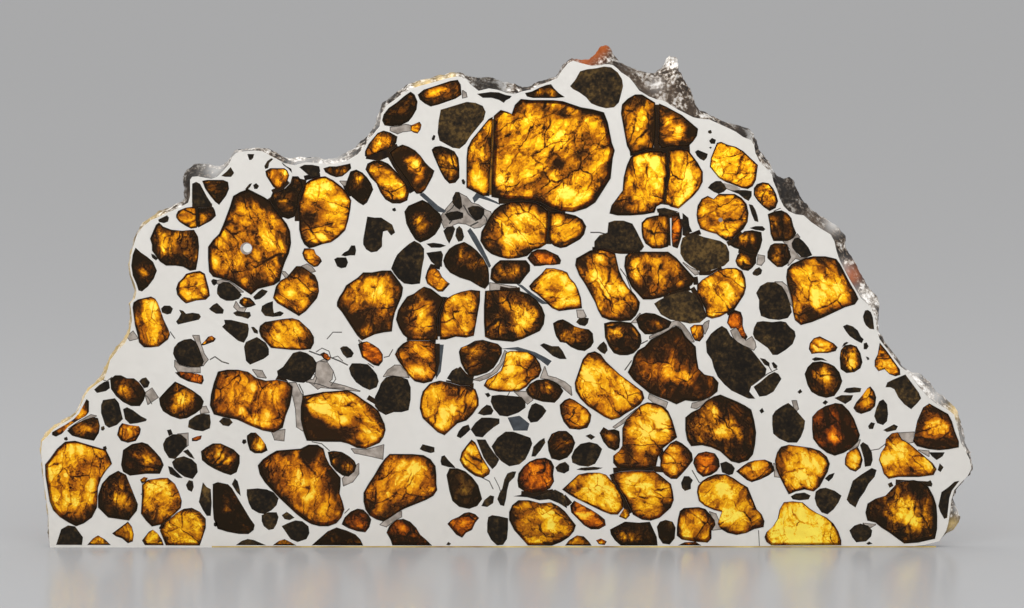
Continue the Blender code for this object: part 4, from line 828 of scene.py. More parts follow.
    549,389,0.4 | 550,390,6,.3 540,386,5,.15
D | 485,394 489,393 491,396 488,398
A | 809,348 810,342 814,337 820,335 834,342 838,346 836,350 828,352 819,352 812,353 | 823,345,0.95 |
    822,346,14,.20
B | 805,373 808,366 813,361 821,360 829,362 835,365 840,371 843,380 840,388 835,395 827,397 819,395 812,391
    808,384 | 826,375,0.42 | 824,378,16,.10 822,372,8,.25 830,382,6,.15
D | 812,358 816,356 823,357 828,360 822,359 815,360
B | 840,357 841,349 845,344 851,343 857,345 861,352 863,361 861,367 855,371 847,372 841,368 | 852,355,0.62 |
    851,357,12,.14 852,352,6,.25 849,363,5,.2
D | 842,346 844,342 847,340.5 849,341.5 846,343.5
D | 843,325 847,323 853,325 858,329 861,335 864,338 862,342 856,339 850,335 846,330
D | 864,342 867,341 869,345 867,348 864,348
D | 866,355 869,356 870,358 868,359
D | 863,315 865,309 868,308.5 871,310.5 873,316 874.5,328 870,327.5 866,324 864,320
A | 880,341 887.5,350 900.5,368 901,373.5 896,375 890,373 885,368 879,370 875,365 875,359 878,353 |
    888,361,0.95
D | 886,386 888,381 894,378 906,373 919.5,391 922,397 918,402 912,408 905,403 899,396 895,388 891,386 | |
    903,391,16,.10
B | 202,182 207,181 223,181 228,183 229,190 226,197 219,206 215,203 210,197 205,190 | 214,184,0.3
B | 192,185 196,183 200,185 207,198 211,204 210,208 203,208 195,207 191.8,204
D | 230.5,168 234,174 231,178 225,178 221,177 226.5,172.5
D | 247,155 254,155 253,159 251,161 249,161
D | 253,186 256,184 259,187 257,190 254,190
B | 264,167 267,162 271,159 273,160 269,164 268,169 265,170
A | 265,172 270,169 284,169 287,171 289,176 287,183 282,188 278,191 273,188 266,177 | 278,179,0.93
B | 292,177 298,177 302,182 303,188 299,196 297,211 294,218 288,220 282,218 277,211 272,205 270,199 272,194
    279,192 285,189 290,184 | 285,203,0.35 | 288,198,18,-.12
D | 299,168 304,165.5 312,165.5 319,167 320,172 318,176 312,178 307,175
B | 323,169 329,167 336,167 350,164 351,169 347,173 342,177 336,178 330,176 325,173 | 340,171,0.4
B | 350,172 356,170 362,173 367,178 371,184 373,190 367,203 363,206 358,203 352,198 347,192 345,187 347,180
    | 357,177,0.5 | 358,187,16,-.12 357,172,5,.3 360,179,5,.25
A | 364.5,152 368,144.5 377,133.5 383,131 390,133 397,137 396,143 392,148 368,157 364.5,157 | 385,141,0.66 |
    385,140,7,.25 376,148,5,.1
B | 381.5,121 383,115 388,108.5 396,103 403.5,96.5 410,92 414,95 417,102 416,110 412,117 408,122 400,126
    391,127 384,126 | 402,119,0.4 | 400,112,20,-.28 398,110,7,.25 390,118,6,.15 408,104,5,.2
A | 417,95 423,90 450,81 457,80 460,85 461,95 455,99 438,105 430,107 424,104 419,100 | 440,94,0.7 |
    439,95,20,-.30 440,92,8,.2 428,97,6,.15 452,88,5,.15
B | 431,150 434,147 440,146 448,148.5 454,151.5 458,158 459,168 459,178 455,183 449,184 444,179 440,172
    433,156 | 447,162,0.6 | 447,160,6,.25 445,152,5,.15 452,172,5,.15
D | 461,180 463,179 465,182 464,185 462,184
D | 431,139 433,135 435,136 434,140 432,141
A | 410,131 410,126 419,122 421,125 420,130 417,134 413,133 | 416,128,0.95
G | 365,170 367,164 373,161 381,161 388,164 395,171 401,178 407,186 409,193 407,201 400,204 392,204 385,200
    380,193 376,184 370,178 | 391,184,0.8 | 387,182,20,-.18
D | 452,198 455,192 459,192 461,198 462,207 459,210 455,207 452,203
D | 444,214 450,212 457,211 463,213 463,218 456,220 449,221
B | 467,208 472,206 478,206 484,209 484,214 481,219 476,221 472,217 469,213
D | 476,94 490,92 498,92.5 505,95 511,96 509,98.5 505,100.5 503,103 498,100 491,98 482,98
D | 656,208 664,207 678,211 672,213 663,213 657,212
B | 524,93 531,91.3 538.5,87.5 545,85 550,84 553,88 558,93 564,97 555,98 532,98 526,96.5 | 545,91,0.5
D | 694,151 697,149 707,153 706,157 703,160 699,158 696,155
D | 708,140 711,137 715,139 714,143 710,143
D | 708,147 709,146 711,146 710,148
D | 707,187 710,183 715,180 720,180 724,184 726,188 723,191 718,193 713,191
D | 730,190 737,189 745,189 751,190 751,195 748,200 744,198 738,193
G | 753,187 756,183 762,181 768,182 772.5,187 775.5,193 777.5,200 775,207 769,210 763,206 757,200 753,194 |
    764,192,0.85 | 762,190,6,.2 768,200,5,.1
D | 748,203 752,204 755,209 757,215 758,221 754,220 751,213
G | 176,290 178,284 183,279 186,275 193,273 200,272 205,275 209,290 210,297 206,301 196,302 186,305 181,301
    177,296 | 192,289,0.96
D | 281,162.5 286,167 291,169.5 292,174 288,169.5 283,166
D | 243,441 246,441 247,444 244,446 242,444
D | 101,429 104,428 105,431 103,433 101,432
D | 64,440 67,439 68,442 66,443 64,442
D | 103,449 106,448 107,451 105,453 103,452
D | 214,525 217,524 218,527 216,529 214,528
D | 245,190 249,185 252,184 250,188 246,192
D | 151,255 154,256 158,260 156,262 152,259
D | 392,209 395,208 396,211 394,212 392,211
D | 707,130 710,129 711,132 709,133 707,132
"""


def read_points(text):
    """Places of the polished face, written as "column,row column,row ..."."""
    return [on_slice(*numbers(pair)) for pair in text.split()]


grain_meshes = {kind: bmesh.new() for kind in SLOTS}
for entry in entries(GRAINS):
    kind, corners, window, marks = [part.strip() for part in (entry + " | |").split("|")[:4]]
    outline = [Vector((point.x, point.y, max(point.z, FOOT_CLEARANCE))) for point in read_points(corners)]
    depth, play = (BACK, 0.0) if window else (FRONT + GRAIN_DEPTH, GRAIN_PLAY)
    pocket_rear = shrunk(outline, GRAIN_SHRINK, depth)
    rings = [overrun(outline, -1), outline, pocket_rear]
    if window:
        rings.append(overrun(pocket_rear, 1))
    add_prism(pockets, rings)
    front = grown(outline, -GRAIN_PLAY)
    rear = grown(shrunk(outline, GRAIN_SHRINK, depth - play), -GRAIN_PLAY)
    add_crystal(grain_meshes[kind], front, rear, kind, read_window(window), read_marks(marks), COARSE_STEP)
for kind, bm in grain_meshes.items():
    make_piece(SLOTS[kind].replace("olivine", "small_grains"), bm, olivine_looks[kind])


# The metal: one piece of iron-nickel that holds all the rest, ground flat and polished on
# both faces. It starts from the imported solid. Its rim, the natural outside of the stone, is
# cut finer and roughened, and the pockets are cut out of it.
RIM_CUTS = 5
RIM_RELIEF, RIM_FEATURE, RIM_FULL = 0.42 * MM, 2.2 * MM, 0.25
# The relief lies in layers: how fast they fade, how much finer each one is, and their number
LAYER_FADE, LAYER_RATIO, LAYERS = 0.9, 2.1, 4
WAVE_RELIEF, WAVE_FEATURE = 0.25 * MM, 0.5 * RIM_FEATURE
GROOVE_DEPTH, GROOVE_PLACE = 0.35 * MM, 0.12
FOOT_BAND = 1.2 * MM
FACE_BAND = 0.01


def walls_of_rim(bm):
    """The faces of the outer rim, which no flat face parts from the outermost corner."""
    outermost = max(bm.verts, key=lambda vert: vert.co.x)
    first = next(face for face in outermost.link_faces if not is_flat(face))
    found, waiting = {first}, [first]
    while waiting:
        for edge in waiting.pop().edges:
            for face in edge.link_faces:
                if face not in found and not is_flat(face):
                    found.add(face)
                    waiting.append(face)
    return found


metal = bmesh.new()
metal.from_mesh(nodes["metal_matrix"].data)
bmesh.ops.remove_doubles(metal, verts=metal.verts, dist=WELD)
bmesh.ops.join_triangles(
    metal, faces=list(walls_of_rim(metal)), angle_face_threshold=math.pi, angle_shape_threshold=math.pi
)
rim_edges = {edge for face in walls_of_rim(metal) for edge in face.edges}
bmesh.ops.subdivide_edges(metal, edges=list(rim_edges), cuts=RIM_CUTS, use_grid_fill=True)
rim_faces = walls_of_rim(metal)
metal.normal_update()

outward = {}
for vert in {vert for face in rim_faces for vert in face.verts}:
    normal = sum((face.normal for face in vert.link_faces if face in rim_faces), Vector())
    normal.y = 0.0
    outward[vert] = normal.normalized()
for vert, normal in outward.items():
    share = (vert.co.y - FRONT) / (BACK - FRONT)
    if share < FACE_BAND or vert.co.z < FOOT_BAND:
        continue
    rough = noise.fractal(vert.co / RIM_FEATURE, LAYER_FADE, LAYER_RATIO, LAYERS) * RIM_RELIEF
    groove = GROOVE_DEPTH * max(0.0, 1.0 - abs(share - GROOVE_PLACE) / GROOVE_PLACE)
    vert.co += normal * (rough * min(1.0, share / RIM_FULL) - groove)
    if share < 1.0 - FACE_BAND:
        vert.co.y += noise.noise(vert.co / WAVE_FEATURE) * WAVE_RELIEF
for face in metal.faces:
    face.smooth = face in rim_faces
    face.material_index = 1 if face in rim_faces else 0
for edge in metal.edges:
    edge.smooth = len({face in rim_faces for face in edge.link_faces}) == 1


def make_polished_metal():
    """Iron-nickel ground flat: pale and even, with faint clouds and the finest scratches."""
    material, tree = new_material("polished_iron_nickel")
    build(tree, {
        "place": "TexCoord", "clouds": "TexNoise", "ramp": "ValToRGB", "grit": "TexNoise",
        "rough": "MapRange", "stretch": "Mapping", "brush": "TexNoise", "bump": "Bump",
    }, {
        "shader.Metallic": 1.0, "clouds.Scale": 45.0, "clouds.Detail": 5.0, "grit.Scale": 900.0,
        "rough.To Min": 0.26, "rough.To Max": 0.38, "stretch.Scale": (1.0, 1.0, 12.0),
        "brush.Scale": 1500.0, "bump.Strength": 0.04, "bump.Distance": 0.0001,
    }, """
        place.Object > clouds.Vector, clouds.Fac > ramp.Fac, ramp.Color > shader.Base Color,
        place.Object > grit.Vector, grit.Fac > rough.Value, rough.0 > shader.Roughness,
        place.Object > stretch.Vector, stretch.0 > brush.Vector, brush.Fac > bump.Height,
        bump.0 > shader.Normal
    """, ((0.30, (0.88, 0.845, 0.785)), (0.70, (0.93, 0.90, 0.845))))
    return material


def make_rim_crust():
    """The natural rim: silvery metal under patches of brown and black weathered skin, with the rim colours set
    below laid over it: rust, stains, painted shade and painted highlight.
    """
    material, tree = new_material("weathered_rim")
    build(tree, {
        "place": "TexCoord", "patches": "TexNoise", "grit": "TexNoise", "mix": "Math", "ramp": "ValToRGB",
        "patina": "Attribute", "cover": "MixRGB", "metal": "MapRange", "rough": "MapRange", "bump": "Bump",
    }, {
        "shader.Specular IOR Level": 0.25, "patches.Scale": 300.0, "patches.Detail": 6.0,
        "patches.Roughness": 0.65, "patches.Distortion": 0.6, "grit.Scale": 1300.0, "grit.Detail": 3.0,
        "mix.operation": "MULTIPLY_ADD", "mix.1": 0.5, "patina.attribute_name": "patina",
        "metal.From Min": 0.72, "metal.From Max": 0.79, "rough.From Min": 0.6, "rough.From Max": 0.95,
        "rough.To Min": 0.65, "rough.To Max": 0.35, "bump.Strength": 0.8, "bump.Distance": 0.0005,
    }, """
        place.Object > patches.Vector, place.Object > grit.Vector, grit.Fac > mix.0,
        patches.Fac > mix.2, mix.0 > ramp.Fac, patina.Alpha > cover.Fac, ramp.Color > cover.1,
        patina.Color > cover.2, cover.0 > shader.Base Color, mix.0 > metal.Value,
        metal.0 > shader.Metallic, mix.0 > rough.Value, rough.0 > shader.Roughness,
        mix.0 > bump.Height, bump.0 > shader.Normal
    """, (
        (0.65, (0.008, 0.006, 0.005)), (0.71, (0.045, 0.030, 0.018)), (0.75, (0.16, 0.115, 0.08)),
        (0.80, (0.50, 0.45, 0.39)), (0.90, (0.92, 0.89, 0.85)),
    ))
    return material


def boolean(target, cutter, operation, tangled=False):
    """The mesh that is left of target, with nothing live on it. A tangled target crosses itself."""
    modifier = target.modifiers.new("cut", "BOOLEAN")
    modifier.operation = operation
    modifier.object = cutter
    modifier.solver = "EXACT"
    modifier.use_self = tangled
    bpy.context.view_layer.update()
    cut = bpy.data.meshes.new_from_object(target.evaluated_get(bpy.context.evaluated_depsgraph_get()))
    target.modifiers.clear()
    return cut


def make_cutter(name, bm):
    """A cutter of many closed solids, joined where they cross."""
    cutter = make_mesh_object(name, bm)
    space = bmesh.new()
    bmesh.ops.create_cube(space, size=1.0)
    around = make_mesh_object("around", space)
    cutter.data = boolean(cutter, around, "INTERSECT", tangled=True)
    bpy.data.objects.remove(around)
    return cutter


metal_piece = make_mesh_object("metal_slab", metal, [make_polished_metal(), make_rim_crust()])
pocket_cutter = make_cutter("grain_pockets", pockets)
metal_piece.data = boolean(metal_piece, pocket_cutter, "DIFFERENCE")
bpy.data.objects.remove(pocket_cutter)


# What lies flush in the polished face, ground flat with it: grey-brown and slate-coloured
# minerals, the dark old fractures between crystals that touch, and hairline cracks. Each
# kind is a shallow inlay, cut out of the metal that it takes the place of.
INLAY_DEPTH = 0.5 * MM
SEAM_DEPTH = 1.5 * MM
CRACK_DEPTH = 0.15 * MM
MINERAL_RIM_DEPTH, MINERAL_RIM_WIDTH = 1.3 * CRACK_DEPTH, 1.5 * PER_COLUMN
RIM_SPARE = 0.4
# Outlines of the grey-brown minerals, then of the slate-coloured ones
MINERALS = """
69,431 80,423 91,417 96,418 88,422 76,427
178,436 188,435 188,447 184,450
145,395 152,390 158,399 148,406
200,409 206,408 209,414 201,415
133,333 138,340 130,342 127,338
216,282 222,281 230,283 238,289 243,293 239,293 233,288 226,284 218,285
236,303 240,309 246,309 244,313 238,312 234,308
193,337 199,337 200,343 204,355 208,361 203,367 202,358 199,349 196,343
175,362 180,367 188,369 200,369 200,374 178,373 175,368
253,371 262,372 266,379 258,378
281,272 286,279 290,278 285,273
302,267 307,265 312,268 315,272 311,273
359,341 363,344 361,346
384,377 388,371 395,366 400,366 406,372 409,378 400,377 390,376
441,221 448,220 453,223 452,227 444,228
381,526 388,520 396,514 402,513 402,518 395,522 387,528
272,433 285,431 284,442 275,441
352,450 366,451 384,446 383,460 370,457 355,454
343,480 352,470 359,465 359,475 353,483 344,487
515,392 530,392 533,400 528,404
577,310 583,310 586,316 583,318 578,317
635,319 640,313 637,322 632,322
683,262 690,267 697,270 699,273 695,274 690,269
758,254 764,255 764,260 761,264 757,263
783,240 790,239 797,233 799,236 792,241 793,248 799,256 808,257 802,259 795,257 790,262 788,264 789,257
    790,248
775,281 782,281 787,285 790,294 793,306 790,302 785,290 781,285
731,330 736,327 740,332 746,340 752,336 755,341 756,346 754,349 748,346 740,343 734,337
705,322 709,320 708,327 705,333 703,325
670,322 678,320 684,325 690,333 694,341 690,341 685,334 681,327 675,324 665,332 650,338 650,336 662,330
650,394 658,398 668,402 666,408 655,403 649,398
614,427 622,421 637,409 636,413 624,423 616,428
693,403 704,400 710,397 705,403 697,408 692,407
711,512 717,514 720,521 723,529 714,530 717,524
775,463 779,467 784,477 776,476
899,432 915,431 914,441 907,442 902,437
848,447 856,442 861,439 859,445 852,450
793,400 797,400 799,408 796,411
865,523 877,524 872,527
920,449 930,450 930,455
340,182 346,182 345,188
390,128 398,127 405,125 410,126 410,131 402,132 397,134 390,131
462,91 465,93 466,97 462,98
722,182 728,183 735,185 740,188 737,190 730,189 725,187
505,351 508,353 502,365 497,372 488,378 480,381 474,380 482,377 492,373 500,364
545,367 548,376 556,378 565,382 571,387 572,395 566,390 558,383 549,379 541,378
446,209 452,202 458,193 466,197 471,203 478,205 485,210 490,212 492,217 487,222 480,227 474,228 466,224
    458,223 450,226 443,222 441,216
316,364 325,360 333,372 332,380 328,384 318,390 312,385 316,375
290,384 296,384 302,396 305,420 303,432 297,428 296,410
303,380 325,382 345,387 360,392 340,390 318,388
490,283 497,284 508,286 516,287 512,291 500,291 490,290
"""
SLATES = """
419,195 428,203 437,212 444,213 446,211 438,206 430,199 423,193
472,198 476,193 486,197 497,202 500,205 489,201 479,198 474,203
470,228 476,236 482,247 487,257 491,266 489,268 484,259 478,250 472,240 467,231
437,345 444,345 441,372 436,380
500,349 518,347 535,352 545,357 552,361 548,366 540,360 530,354 515,350
515,283 522,285 532,293 541,299 548,304 542,304 534,299 524,290
508,418 520,416 530,424 528,431 514,431
"""
# Dark old fractures between crystals that touch: the width and then the points
SEAMS = """
6 | 656,104 656,147
7 | 629,152 641,151 656,150 689,148
8 | 669,150 667,180 664,204
6 | 549,210 548,244
8 | 498,200 520,199 541,201 551,208 565,212
9 | 443,297 440,337
7 | 303,180 300,195 298,210 298,222
6 | 269,199 275,208 283,218
5 | 272,193 281,189 288,182
5 | 192,207 203,207 212,207
5 | 197,207 198,228
5 | 304,179 312,177 320,176
5 | 345,186 350,197
9 | 366,155 378,157 390,152 398,148
8 | 389,152 396,165 405,178 413,192
4 | 430,266 440,268
5 | 407,339 422,341 436,341
6 | 437,344 437,362 434,376
5 | 446,383 460,385 474,386
4 | 459,368 466,376 474,378
5 | 592,249 604,249 620,251 640,251
5 | 664,298 678,292 690,287
5 | 692,287 697,295 701,306 705,317
5 | 695,276 696,284
5 | 699,272 712,272 722,268
5 | 667,216 668,245
5 | 680,218 679,235 675,247
5 | 658,214 668,215 679,214
5 | 683,232 690,235 700,231
5 | 727,243 735,239 742,232
4 | 738,250 750,252 757,254
4 | 727,313 735,309
6 | 613,474 618,488 625,503 631,514
6 | 614,471 640,468 672,470
6 | 658,441 661,450 664,459 670,469
5 | 522,494 535,495 554,492
6 | 564,497 571,505
5 | 176,508 168,520 161,532
6 | 277,378 284,382 290,391
5 | 368,398 378,404 387,413
5 | 897,481 915,482 933,483
4 | 500,288 510,290 520,289
"""
# Healed fractures within bright olivine, brown with old iron
HEALED = """
6 | 492,119 491,150 490,195
"""
# Hairline cracks in the metal and in the brittle minerals
HAIRLINES = """
1.3 | 309,352 320,356 330,358 340,362 348,366
1.3 | 210,361 215,358 222,363 229,365
1.0 | 327,340 333,333 342,333
1.0 | 175,340 170,333
1.0 | 384,358 389,357 393,350
0.8 | 760,530 761,546
1.0 | 620,268 626,276 632,292
1.0 | 752,385 768,373 778,368
1.0 | 765,358 772,370
1.0 | 316,353 322,349 329,352 331,358 327,363 320,362
0.9 | 331,359 338,357 343,362
0.9 | 312,372 317,379 314,386
0.9 | 333,371 336,380 331,387
1.2 | 299,385 303,393 305,406 303,420
1.0 | 306,383 318,385 330,389 345,389
1.4 | 449,224 455,216 461,219
1.4 | 463,205 468,214 476,221
1.6 | 470,226 478,222
1.2 | 480,211 486,218 487,224
1.2 | 446,213 452,208 456,201
1.0 | 368,364 374,368
1.0 | 345,515 350,510
0.8 | 495,478 500,488 505,505
0.9 | 773,210 780,207
1.2 | 590,232 599,232 607,234
1.2 | 648,340 638,345 630,353
1.2 | 632,360 625,370
1.0 | 101,381 107,383 112,379
1.0 | 143,395 148,399 152,406
1.0 | 141,497 146,492
1.0 | 330,452 322,445 312,443
1.0 | 508,396 512,388 505,383
1.0 | 480,477 490,482 494,490
1.0 | 693,470 700,482 712,487
0.9 | 784,470 790,480 795,490
0.9 | 868,450 880,448 890,440
"""


def make_stone(name, dark, light, scale, roughness, gloss=0.5):
    """A dull dense mineral: two shades in fine clouds."""
    material, tree = new_material(name)
    build(tree, {"place": "TexCoord", "clouds": "TexNoise", "ramp": "ValToRGB"}, {
        "shader.Roughness": roughness, "shader.Specular IOR Level": gloss, "clouds.Scale": scale,
        "clouds.Detail": 5.0,
    }, """
        place.Object > clouds.Vector, clouds.Fac > ramp.Fac, ramp.Color > shader.Base Color
    """, ((0.35, dark), (0.65, light)))
    return material


def flat_rings(outline, depth):
    """The rings of an upright prism from in front of the polished face down to a depth."""
    return [[Vector((p.x, y, p.z)) for p in outline] for y in (FRONT - CUT_OVERRUN, FRONT + depth)]


def ribbon(points, width, depth):
    """The rings of a thin upright band along a line on the polished face."""
    sides = [[], []]
    for i, point in enumerate(points):
        before, after = points[max(i - 1, 0)], points[min(i + 1, len(points) - 1)]
        along = (after - before).normalized()
        across = 0.5 * width * Vector((-along.z, 0.0, along.x))
        sides[0].append(point + across)
        sides[1].append(point - across)
    return flat_rings(sides[0] + sides[1][::-1], depth)


def areas(text, depth):
    """Prisms over closed outlines."""
    return [flat_rings(read_points(entry), depth) for entry in entries(text)]


def bands(text, depth):
    """Bands along lines. Each entry gives the width and then the points."""
    lines = [entry.split("|") for entry in entries(text)]
    return [ribbon(read_points(points), float(width) * PER_COLUMN, depth) for width, points in lines]


def rims(text, width, depth):
    """Fine bands that run round each closed outline, one for each side of it."""
    found = []
    for entry in entries(text):
        outline = read_points(entry)
        for start, end in zip(outline, outline[1:] + outline[:1]):
            spare = RIM_SPARE * width * (end - start).normalized()
            found.append(ribbon([start - spare, end + spare], width, depth))
    return found


filling = make_stone("crack_filling", (0.010, 0.008, 0.006), (0.07, 0.055, 0.042), 900.0, 0.6)
INLAYS = {
    "dark_seams": (
        bands(SEAMS, SEAM_DEPTH),
        make_stone("dark_seam", (0.007, 0.004, 0.002), (0.030, 0.014, 0.004), 420.0, 0.5, 0.1)),
    "healed_fractures": (
        bands(HEALED, SEAM_DEPTH),
        make_stone("healed_fracture", (0.06, 0.022, 0.004), (0.34, 0.15, 0.012), 380.0, 0.5, 0.1)),
    "hairline_cracks": (bands(HAIRLINES, CRACK_DEPTH), filling),
    "slate_minerals": (
        areas(SLATES, INLAY_DEPTH),
        make_stone("slate_mineral", (0.016, 0.020, 0.026), (0.042, 0.052, 0.060), 700.0, 0.4)),
    "taupe_minerals": (
        areas(MINERALS, INLAY_DEPTH),
        make_stone("taupe_mineral", (0.20, 0.165, 0.135), (0.40, 0.345, 0.295), 620.0, 0.35)),
    "mineral_rims": (rims(MINERALS, MINERAL_RIM_WIDTH, MINERAL_RIM_DEPTH), filling),
}
for name, (prisms, material) in INLAYS.items():
    bm = bmesh.new()
    for rings in prisms:
        add_prism(bm, rings)
    cutter = make_cutter(name + "_cutter", bm)
    inlay_mesh = boolean(metal_piece, cutter, "INTERSECT")
    metal_piece.data = boolean(metal_piece, cutter, "DIFFERENCE")
    bpy.data.objects.remove(cutter)
    inlay = bpy.data.objects.new(name, inlay_mesh)
    bpy.context.scene.collection.objects.link(inlay)
    inlay_mesh.materials.clear()
    inlay_mesh.materials.append(material)
    for face in inlay_mesh.polygons:
        face.material_index = 0
    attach(inlay, "root")


# The colours on the metal's rim, which are only colour: larger patches that were set one by one, of weathered
# skin, rust, painted shade and painted highlight, and a broken black line of painted shade along the edge of
# the polished face.
LINE_DEPTH, LINE_FEATURE = 0.3 * MM, 7.0 * MM
LINE_STRENGTH = 0.92
LINE_STARTS, LINE_FULL = -0.5, 0.2
PATCH_REACH = 2.5
# K is painted shade in hollows and shaded bands, B brown skin, partly painted shade in hollows, R rust, Y gold
# stain, partly a painted golden highlight along the left edge and the foot, and S bare silver, partly a painted
# highlight on the outer edges. Each entry gives the kind, and the middle, radius and strength of each of its
# patches.
PATCH_COLOURS = {
    "K": (0.012, 0.009, 0.007), "B": (0.07, 0.045, 0.028), "R": (0.36, 0.075, 0.003), "Y": (0.80, 0.58, 0.24),
    "S": (0.88, 0.86, 0.83),
}
RIM_PATCHES = """
Y | 41,500,26,.7 41,450,22,.8 55,425,20,.6 85,395,20,.7 105,365,20,.6 125,335,18,.7 132,300,20,.6
    133,262,18,.7 150,220,14,.5 958,410,8,.8 956,526,8,.7 418,87,5,.8 427,83,5,.8 440,80,5,.7 451,77,5,.7
S | 215,170,12,.45 240,160,12,.45 330,160,20,.4 300,163,12,.35 372,120,10,.3 860,300,14,.4 842,268,9,.3
    834,222,9,.6 915,372,12,.45 935,395,12,.45 955,440,14,.4 962,508,6,.6 676,62,5,.5 655,84,7,.3
K | 192,180,12,.97 492,90,16,.95 612,74,14,.9 742,134,10,.95 787,194,16,.97 775,178,9,.9 478,84,9,.8
    352,162,7,.6 388,98,8,.7 200,168,6,.7 800,212,8,.8 640,100,10,.6
B | 820,236,14,.95 808,220,10,.9 665,92,18,.75 640,88,14,.8 850,300,8,.4 183,195,10,.7 900,358,8,.4
    735,122,9,.6 690,108,12,.6 560,72,8,.5 952,430,10,.4 975,470,8,.4 625,70,9,.8
R | 594,52,9,.98 583,60,9,.95 851,274,9,.97 603,47,6,.9
"""

patches = []
for entry in entries(RIM_PATCHES):
    kind, places = entry.split("|")
    for place in places.split():
        column, row, radius, strength = numbers(place)
        colour = Vector(PATCH_COLOURS[kind.strip()])
        patches.append((on_slice(column, row), radius * PER_COLUMN, strength, colour))
# The rim colours: painted shade, painted highlight, rust and stains, held as a colour and how much it covers.
patina = metal_piece.data.attributes.new("patina", "FLOAT_COLOR", "POINT")
black = Vector(PATCH_COLOURS["K"])
for vert, held in zip(metal_piece.data.vertices, patina.data):
    bare, total, mixed = 1.0, 0.0, Vector()
    # A broken black line of painted shade along the edge of the polished face
    if vert.co.y < FRONT + LINE_DEPTH:
        total = smooth_step(LINE_STARTS, LINE_FULL, noise.noise(vert.co / LINE_FEATURE)) * LINE_STRENGTH
        bare, mixed = 1.0 - total, total * black
    for middle, radius, strength, colour in patches:
        across = Vector((vert.co.x - middle.x, 0.0, vert.co.z - middle.z)).length / radius
        if across < PATCH_REACH:
            share = strength * math.exp(-across * across)
            bare *= 1.0 - share
            total += share
            mixed += share * colour
    held.color = (*(mixed / total if total else mixed), 1.0 - bare)
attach(metal_piece, "root")
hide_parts("metal_matrix")


# Beads of metal and mineral that two of the crystals grew round. They end a hair proud of
# the polished face, so that they show, and the largest one sits in a ring of grey mineral.
BEAD_DEPTH, BEAD_TAPER, BEAD_SIDES = 0.6 * MM, 0.7, 28
# The column and row of each bead, its radius in columns, how far it stands proud, its look
BEADS = {
    "metal_bead_ring": (246.2, 249.5, 6.0, 0.010 * MM, "taupe_mineral"),
    "metal_bead": (247.3, 249.0, 4.4, 0.020 * MM, "polished_iron_nickel"),
    "metal_small_bead": (720.0, 219.0, 2.2, 0.020 * MM, "taupe_mineral"),
}
for name, (column, row, radius, proud, look) in BEADS.items():
    bead = bmesh.new()
    bmesh.ops.create_cone(
        bead, cap_ends=True, segments=BEAD_SIDES, radius1=radius * PER_COLUMN,
        radius2=BEAD_TAPER * radius * PER_COLUMN, depth=BEAD_DEPTH,
        matrix=Matrix.Rotation(-math.pi / 2, 4, "X"),
    )
    bmesh.ops.translate(bead, verts=bead.verts, vec=on_slice(column, row, FRONT - proud + 0.5 * BEAD_DEPTH))
    make_piece(name, bead, [bpy.data.materials[look]])


# The arris that the saw left along the foot: a fine edge of the metal, coloured gold as a painted
# reflection of golden light along the foot.
ARRIS_LEFT, ARRIS_RIGHT = 212.0, 938.0
ARRIS_WIDTH, ARRIS_HEIGHT = 0.2 * MM, 0.34 * MM
ARRIS_PROUD = 0.015 * MM
arris = bmesh.new()
left, right = on_slice(ARRIS_LEFT, FOOT_LEFT[1]), on_slice(ARRIS_RIGHT, FOOT_RIGHT[1])
middle = Vector((0.5 * (left.x + right.x), FRONT + 0.5 * ARRIS_WIDTH - ARRIS_PROUD, 0.5 * ARRIS_HEIGHT))
bmesh.ops.create_cube(arris, size=1.0)
bmesh.ops.scale(arris, verts=arris.verts, vec=(right.x - left.x, ARRIS_WIDTH, ARRIS_HEIGHT))
bmesh.ops.translate(arris, verts=arris.verts, vec=middle)
# The gold colour of the arris is a painted reflection
arris_reflection = make_stone("golden_arris", (0.30, 0.18, 0.05), (0.90, 0.68, 0.22), 90.0, 0.3)
arris_reflection.node_tree.nodes["Principled BSDF"].inputs["Metallic"].default_value = 0.8
make_piece("foot_arris", arris, [arris_reflection])


# The studio: a pale floor with a soft gloss, soft light all round and a long lens that
# looks at the polished face from just above the middle of the slice.
FLOOR_REACH = 40.0
LIGHT_AIM = Vector((0.0, 0.0, 0.07))
PHOTO_COLUMNS, PHOTO_ROWS = 1024, 608
CAMERA_DISTANCE, CAMERA_RISE = 1.6, math.radians(3.5)
SENSOR_WIDTH = 36.0

floor_mesh = bmesh.new()
bmesh.ops.create_grid(floor_mesh, x_segments=1, y_segments=1, size=FLOOR_REACH)
floor = make_mesh_object("studio_floor", floor_mesh)
floor_material, tree = new_material("pale_floor")
build(tree, {"matt": "BsdfDiffuse", "gloss": "BsdfGlossy", "mix": "MixShader"}, {
    "matt.Color": (0.34, 0.34, 0.344, 1.0), "gloss.Roughness": 0.17, "mix.Fac": 0.13,
}, "matt.0 > mix.1, gloss.0 > mix.2, mix.0 > output.Surface")
floor.data.materials.append(floor_material)

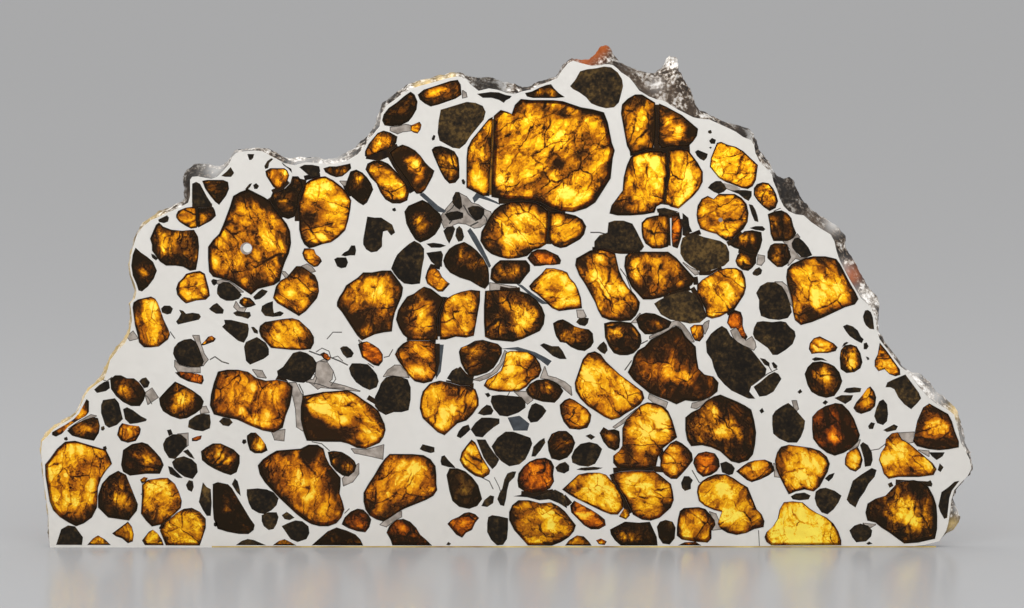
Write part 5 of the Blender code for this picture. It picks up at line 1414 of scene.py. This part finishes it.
# The lens sees a grey backdrop. The slice is lit by white light, and what shines through
# its crystals is a stronger and warmer glow.
world = bpy.data.worlds.new("studio")
bpy.context.scene.world = world
world.use_nodes = True
build(world.node_tree, {
    "rays": "LightPath", "lamp": "Background", "glow": "Background", "seen": "MixShader",
    "through": "MixShader",
}, {
    "Background.Color": (0.60, 0.60, 0.615, 1.0), "Background.Strength": 0.75,
    "lamp.Color": (1.0, 1.0, 1.0, 1.0), "lamp.Strength": 1.0,
    "glow.Color": (1.0, 0.98, 0.94, 1.0), "glow.Strength": 3.5,
}, """
    rays.Is Camera Ray > seen.Fac, through.0 > seen.1, Background.0 > seen.2,
    rays.Is Transmission Ray > through.Fac, lamp.0 > through.1, glow.0 > through.2,
    seen.0 > World Output.Surface
""")


def add_soft_light(name, place, width, height, power):
    lamp = bpy.data.lights.new(name, "AREA")
    lamp.shape = "RECTANGLE"
    lamp.size, lamp.size_y = width, height
    lamp.energy = power
    made = bpy.data.objects.new(name, lamp)
    made.location = place
    made.rotation_euler = (LIGHT_AIM - Vector(place)).to_track_quat("-Z", "Y").to_euler()
    bpy.context.scene.collection.objects.link(made)


add_soft_light("light_front", (-0.2, -1.9, 1.3), 2.4, 0.8, 24.0)
add_soft_light("light_above", (-0.3, 0.15, 0.9), 0.6, 0.3, 1.2)
add_soft_light("light_right", (0.9, -0.5, 0.5), 0.4, 0.6, 0.8)

target = on_slice(0.5 * PHOTO_COLUMNS, 0.5 * PHOTO_ROWS)
lens = bpy.data.cameras.new("camera")
lens.sensor_width = SENSOR_WIDTH
lens.lens = SENSOR_WIDTH * CAMERA_DISTANCE / (PHOTO_COLUMNS * PER_COLUMN)
camera = bpy.data.objects.new("camera", lens)
camera.location = target + CAMERA_DISTANCE * Vector((0.0, -math.cos(CAMERA_RISE), math.sin(CAMERA_RISE)))
camera.rotation_euler = (math.pi / 2 - CAMERA_RISE, 0.0, 0.0)
bpy.context.scene.collection.objects.link(camera)
bpy.context.scene.camera = camera
bpy.context.scene.view_settings.view_transform = "Standard"

bpy.context.view_layer.update()
